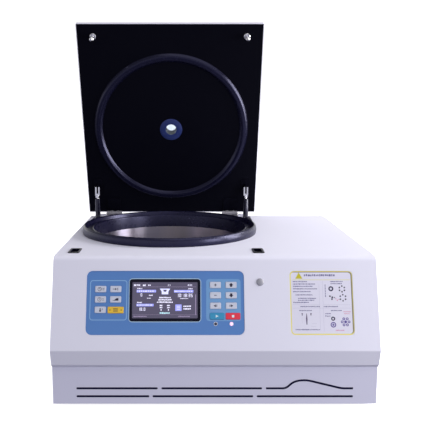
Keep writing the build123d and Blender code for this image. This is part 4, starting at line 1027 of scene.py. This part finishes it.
def lid_details():
    """Glossy seal over the liner's ring, and the tinted sight disc round a clear pane."""
    seal = polygon([(215.7, 0), (210.9, -6.1), (209.7, -7.0), (208.2, -7.5), (199.8, -7.5), (198.3, -7.0),
                    (197.1, -6.1), (192.3, 0), (195, 0.6), (213, 0.6)])
    black = gloss_black("seal_black", (0.003, 0.003, 0.012), 0.25, 0.0, 0.4)
    dress(lathe("lid_seal", seal, 180, LID), black, "lid")
    disc = polygon([(15.2, 0.3), (16.2, 0.2), (30.9, 0.2), (31.7, 0.8), (31.7, 3.1), (15.2, 3.1)])
    navy = gloss_black("sight_navy", (0.016, 0.026, 0.105), 0.25, 0.1, 0.3)
    dress(lathe("sight_disc", disc, 64, LID), navy, "lid", ["sight_glass"])
    pane = lathe("sight_pane", polygon([(0, 0.6), (15.1, 0.6), (15.1, 2.8), (0, 2.8)]), 48, LID, closed=False)
    dress(pane, M["sight_glass"], "lid", ["sight_glass"])


def hole_outlines(node, normal):
    """Outlines of the holes in a CAD node's flat face, in (x, z)."""
    bm = bmesh.new()
    bm.from_mesh(NODES[node].data)
    bmesh.ops.remove_doubles(bm, verts=bm.verts, dist=1e-6)
    level = max(v.co.dot(normal) for v in bm.verts)
    flat = {f for f in bm.faces if all(v.co.dot(normal) > level - 1e-6 for v in f.verts)}
    rim = {e for f in flat for e in f.edges if sum(g in flat for g in e.link_faces) == 1}
    loops = []
    while rim:
        edge = rim.pop()
        chain = [edge.verts[0], edge.verts[1]]
        while True:
            step = next((e for e in chain[-1].link_edges if e in rim), None)
            if step is None:
                break
            rim.remove(step)
            chain.append(step.other_vert(chain[-1]))
        if chain[-1] is chain[0]:
            chain.pop()
        loops.append([(v.co.x, v.co.z) for v in chain])
    bm.free()
    loops.sort(key=lambda ring: max(p[0] for p in ring) - min(p[0] for p in ring))
    return loops[:-1]


def grown(ring, margin):
    """A closed outline moved outwards by a margin."""
    area = sum(a[0] * b[1] - b[0] * a[1] for a, b in zip(ring, ring[1:] + ring[:1]))
    side = math.copysign(margin, area)
    out = []
    for before, here, after in zip(ring[-1:] + ring[:-1], ring, ring[1:] + ring[:1]):
        along = Vector((after[0] - before[0], after[1] - before[1])).normalized()
        out.append((here[0] + along.y * side, here[1] - along.x * side))
    return out


def slot_shade_inlays():
    """Dark navy inlays filling the narrow open slots of the front skirt, with a thin flange over the edge: painted
    shade standing in for the dark inside of the slots.
    """
    front = Vector((0, -1, 0))
    place = basis(Vector((1, 0, 0)), UP, front, Vector((0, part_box("front_skirt")[0].y, 0)))
    rings = hole_outlines("front_skirt", front)
    parts = [slab(f"{name}_{k}", grown(ring, margin * MM), low * MM, high * MM, place)
             for name, margin, low, high in (("inlay", -0.05, -2.6, 0.0), ("flange", 0.45, 0.0, 0.35))
             for k, ring in enumerate(rings)]
    # Painted shade: a dark navy sheet put where the open slots show only shade.
    navy = moulded("slot_shade_navy", (0.008, 0.007, 0.036), 0.45, 0.00002, 1500, 0.05)
    dress(joined("slot_shade_inlays", parts), navy, "root")


lid_details()
slot_shade_inlays()
panel_prints()
display()
key_icons()
lamps()
info_plate()
louvres()
rear_details()
hinge_finish()


# ---------------------------------------------------------------- stage, light and camera
# Colour of the sky by height of the direction, from straight down to straight up.
NADIR = (0.11, 0.11, 0.15)
LOW_SKY = (0.44, 0.44, 0.54)
HIGH_SKY = (0.32, 0.32, 0.33)
GLARE = (1.0, 1.0, 1.0)
SKY = ((-1.0, NADIR), (-0.62, NADIR), (-0.26, LOW_SKY), (-0.06, LOW_SKY), (-0.03, GLARE), (0.17, GLARE),
       (0.30, HIGH_SKY), (1.0, HIGH_SKY))
SKY_STRENGTH = 1.12
FLOOR_GLOW = 0.85
FLOOR_HALF = 60
WARM = (1.0, 0.985, 0.98)
# Name, kind, place, target, size (an angle for the sun), power and colour.
LIGHTS = (
    ("overhead_sun", "SUN", (0.3, -0.28, 0.92), (0, 0, 0), math.radians(60), 0.70, (1.0, 0.99, 0.985)),
    ("side_light", "AREA", (1.9, 0.7, 1.5), (0.0, -0.1, 0.3), 1.0, 16, WARM),
    ("softbox", "AREA", (1.9, -0.05, 0.85), (-0.1, 0.0, 0.80), (0.7, 1.6), 46, WARM),
    ("front_light", "AREA", (1.4, -1.0, 0.5), (0.0, -0.1, 0.4), 0.7, 10.5, WARM),
)


def studio_floor():
    """A pale floor to the horizon, seen by the camera but not by the model."""
    bm = bmesh.new()
    corners = ((-1, -1), (1, -1), (1, 1), (-1, 1))
    bm.faces.new([bm.verts.new((x * FLOOR_HALF, y * FLOOR_HALF, 0)) for x, y in corners])
    floor = from_bmesh("studio_floor", bm)
    n = Nodes("studio_paper")
    n.into(n.blend(n.noise(2.0, 3), (0.96, 0.96, 0.97), (0.9456, 0.9456, 0.95545)), "Base Color")
    n.set(Roughness=0.9, Specular_IOR_Level=0.1, Emission_Color=(1, 1, 1, 1), Emission_Strength=FLOOR_GLOW)
    n.bump((n.noise(900, 2), 0.00005))
    dress(floor, n.material)
    floor.visible_diffuse = False
    floor.visible_glossy = False


def sky():
    """A world that changes with height only, bright along the horizon."""
    world = bpy.data.worlds.new("studio")
    world.use_nodes = True
    tree = world.node_tree
    split = tree.nodes.new("ShaderNodeSeparateXYZ")
    half = tree.nodes.new("ShaderNodeMath")
    ramp = tree.nodes.new("ShaderNodeValToRGB")
    back = tree.nodes["Background"]
    half.operation = "MULTIPLY_ADD"
    half.inputs[1].default_value = 0.5
    half.inputs[2].default_value = 0.5
    marks = ramp.color_ramp.elements
    for mark, (height, colour) in zip(marks, (SKY[0], SKY[-1])):
        mark.position = 0.5 + height / 2
        mark.color = (*colour, 1)
    for height, colour in SKY[1:-1]:
        marks.new(0.5 + height / 2).color = (*colour, 1)
    back.inputs["Strength"].default_value = SKY_STRENGTH
    tree.links.new(tree.nodes.new("ShaderNodeTexCoord").outputs["Generated"], split.inputs["Vector"])
    tree.links.new(split.outputs["Z"], half.inputs[0])
    tree.links.new(half.outputs["Value"], ramp.inputs["Fac"])
    tree.links.new(ramp.outputs["Color"], back.inputs["Color"])
    bpy.context.scene.world = world


def lights():
    """Soft light from above right. The low soft box is kept off the side walls, which it would burn out."""
    flagged = bpy.data.collections.new("flagged_from_softbox")
    for node in ("left_side_panel", "right_side_panel"):
        flagged.objects.link(NODES[node])
        flagged.objects.link(bpy.data.objects[f"{node}_louvres"])
    for item in flagged.collection_objects:
        item.light_linking.link_state = "EXCLUDE"

    for name, kind, place, target, size, power, colour in LIGHTS:
        lamp = bpy.data.lights.new(name, kind)
        if kind == "SUN":
            lamp.angle = size
        elif isinstance(size, tuple):
            lamp.shape = "RECTANGLE"
            lamp.size, lamp.size_y = size
        else:
            lamp.shape = "DISK"
            lamp.size = size
        lamp.energy = power
        lamp.color = colour
        obj = link(name, lamp)
        obj.location = place
        obj.rotation_euler = (Vector(target) - Vector(place)).to_track_quat("-Z", "Y").to_euler()
        obj.visible_camera = False
        if name == "softbox":
            obj.light_linking.receiver_collection = flagged


def camera():
    """Nearly level view from the front, pitched slightly down at the control panel."""
    data = bpy.data.cameras.new("camera")
    data.lens = 56.64
    data.sensor_width = 36.0
    data.shift_x = 0.0621
    data.shift_y = -0.001
    obj = link("camera", data)
    obj.location = (-0.0564, -1.6926, 0.6243)
    obj.rotation_euler = (math.radians(81.5), 0, 0)
    bpy.context.scene.camera = obj


studio_floor()
sky()
lights()
camera()
bpy.context.scene.view_settings.view_transform = "Standard"
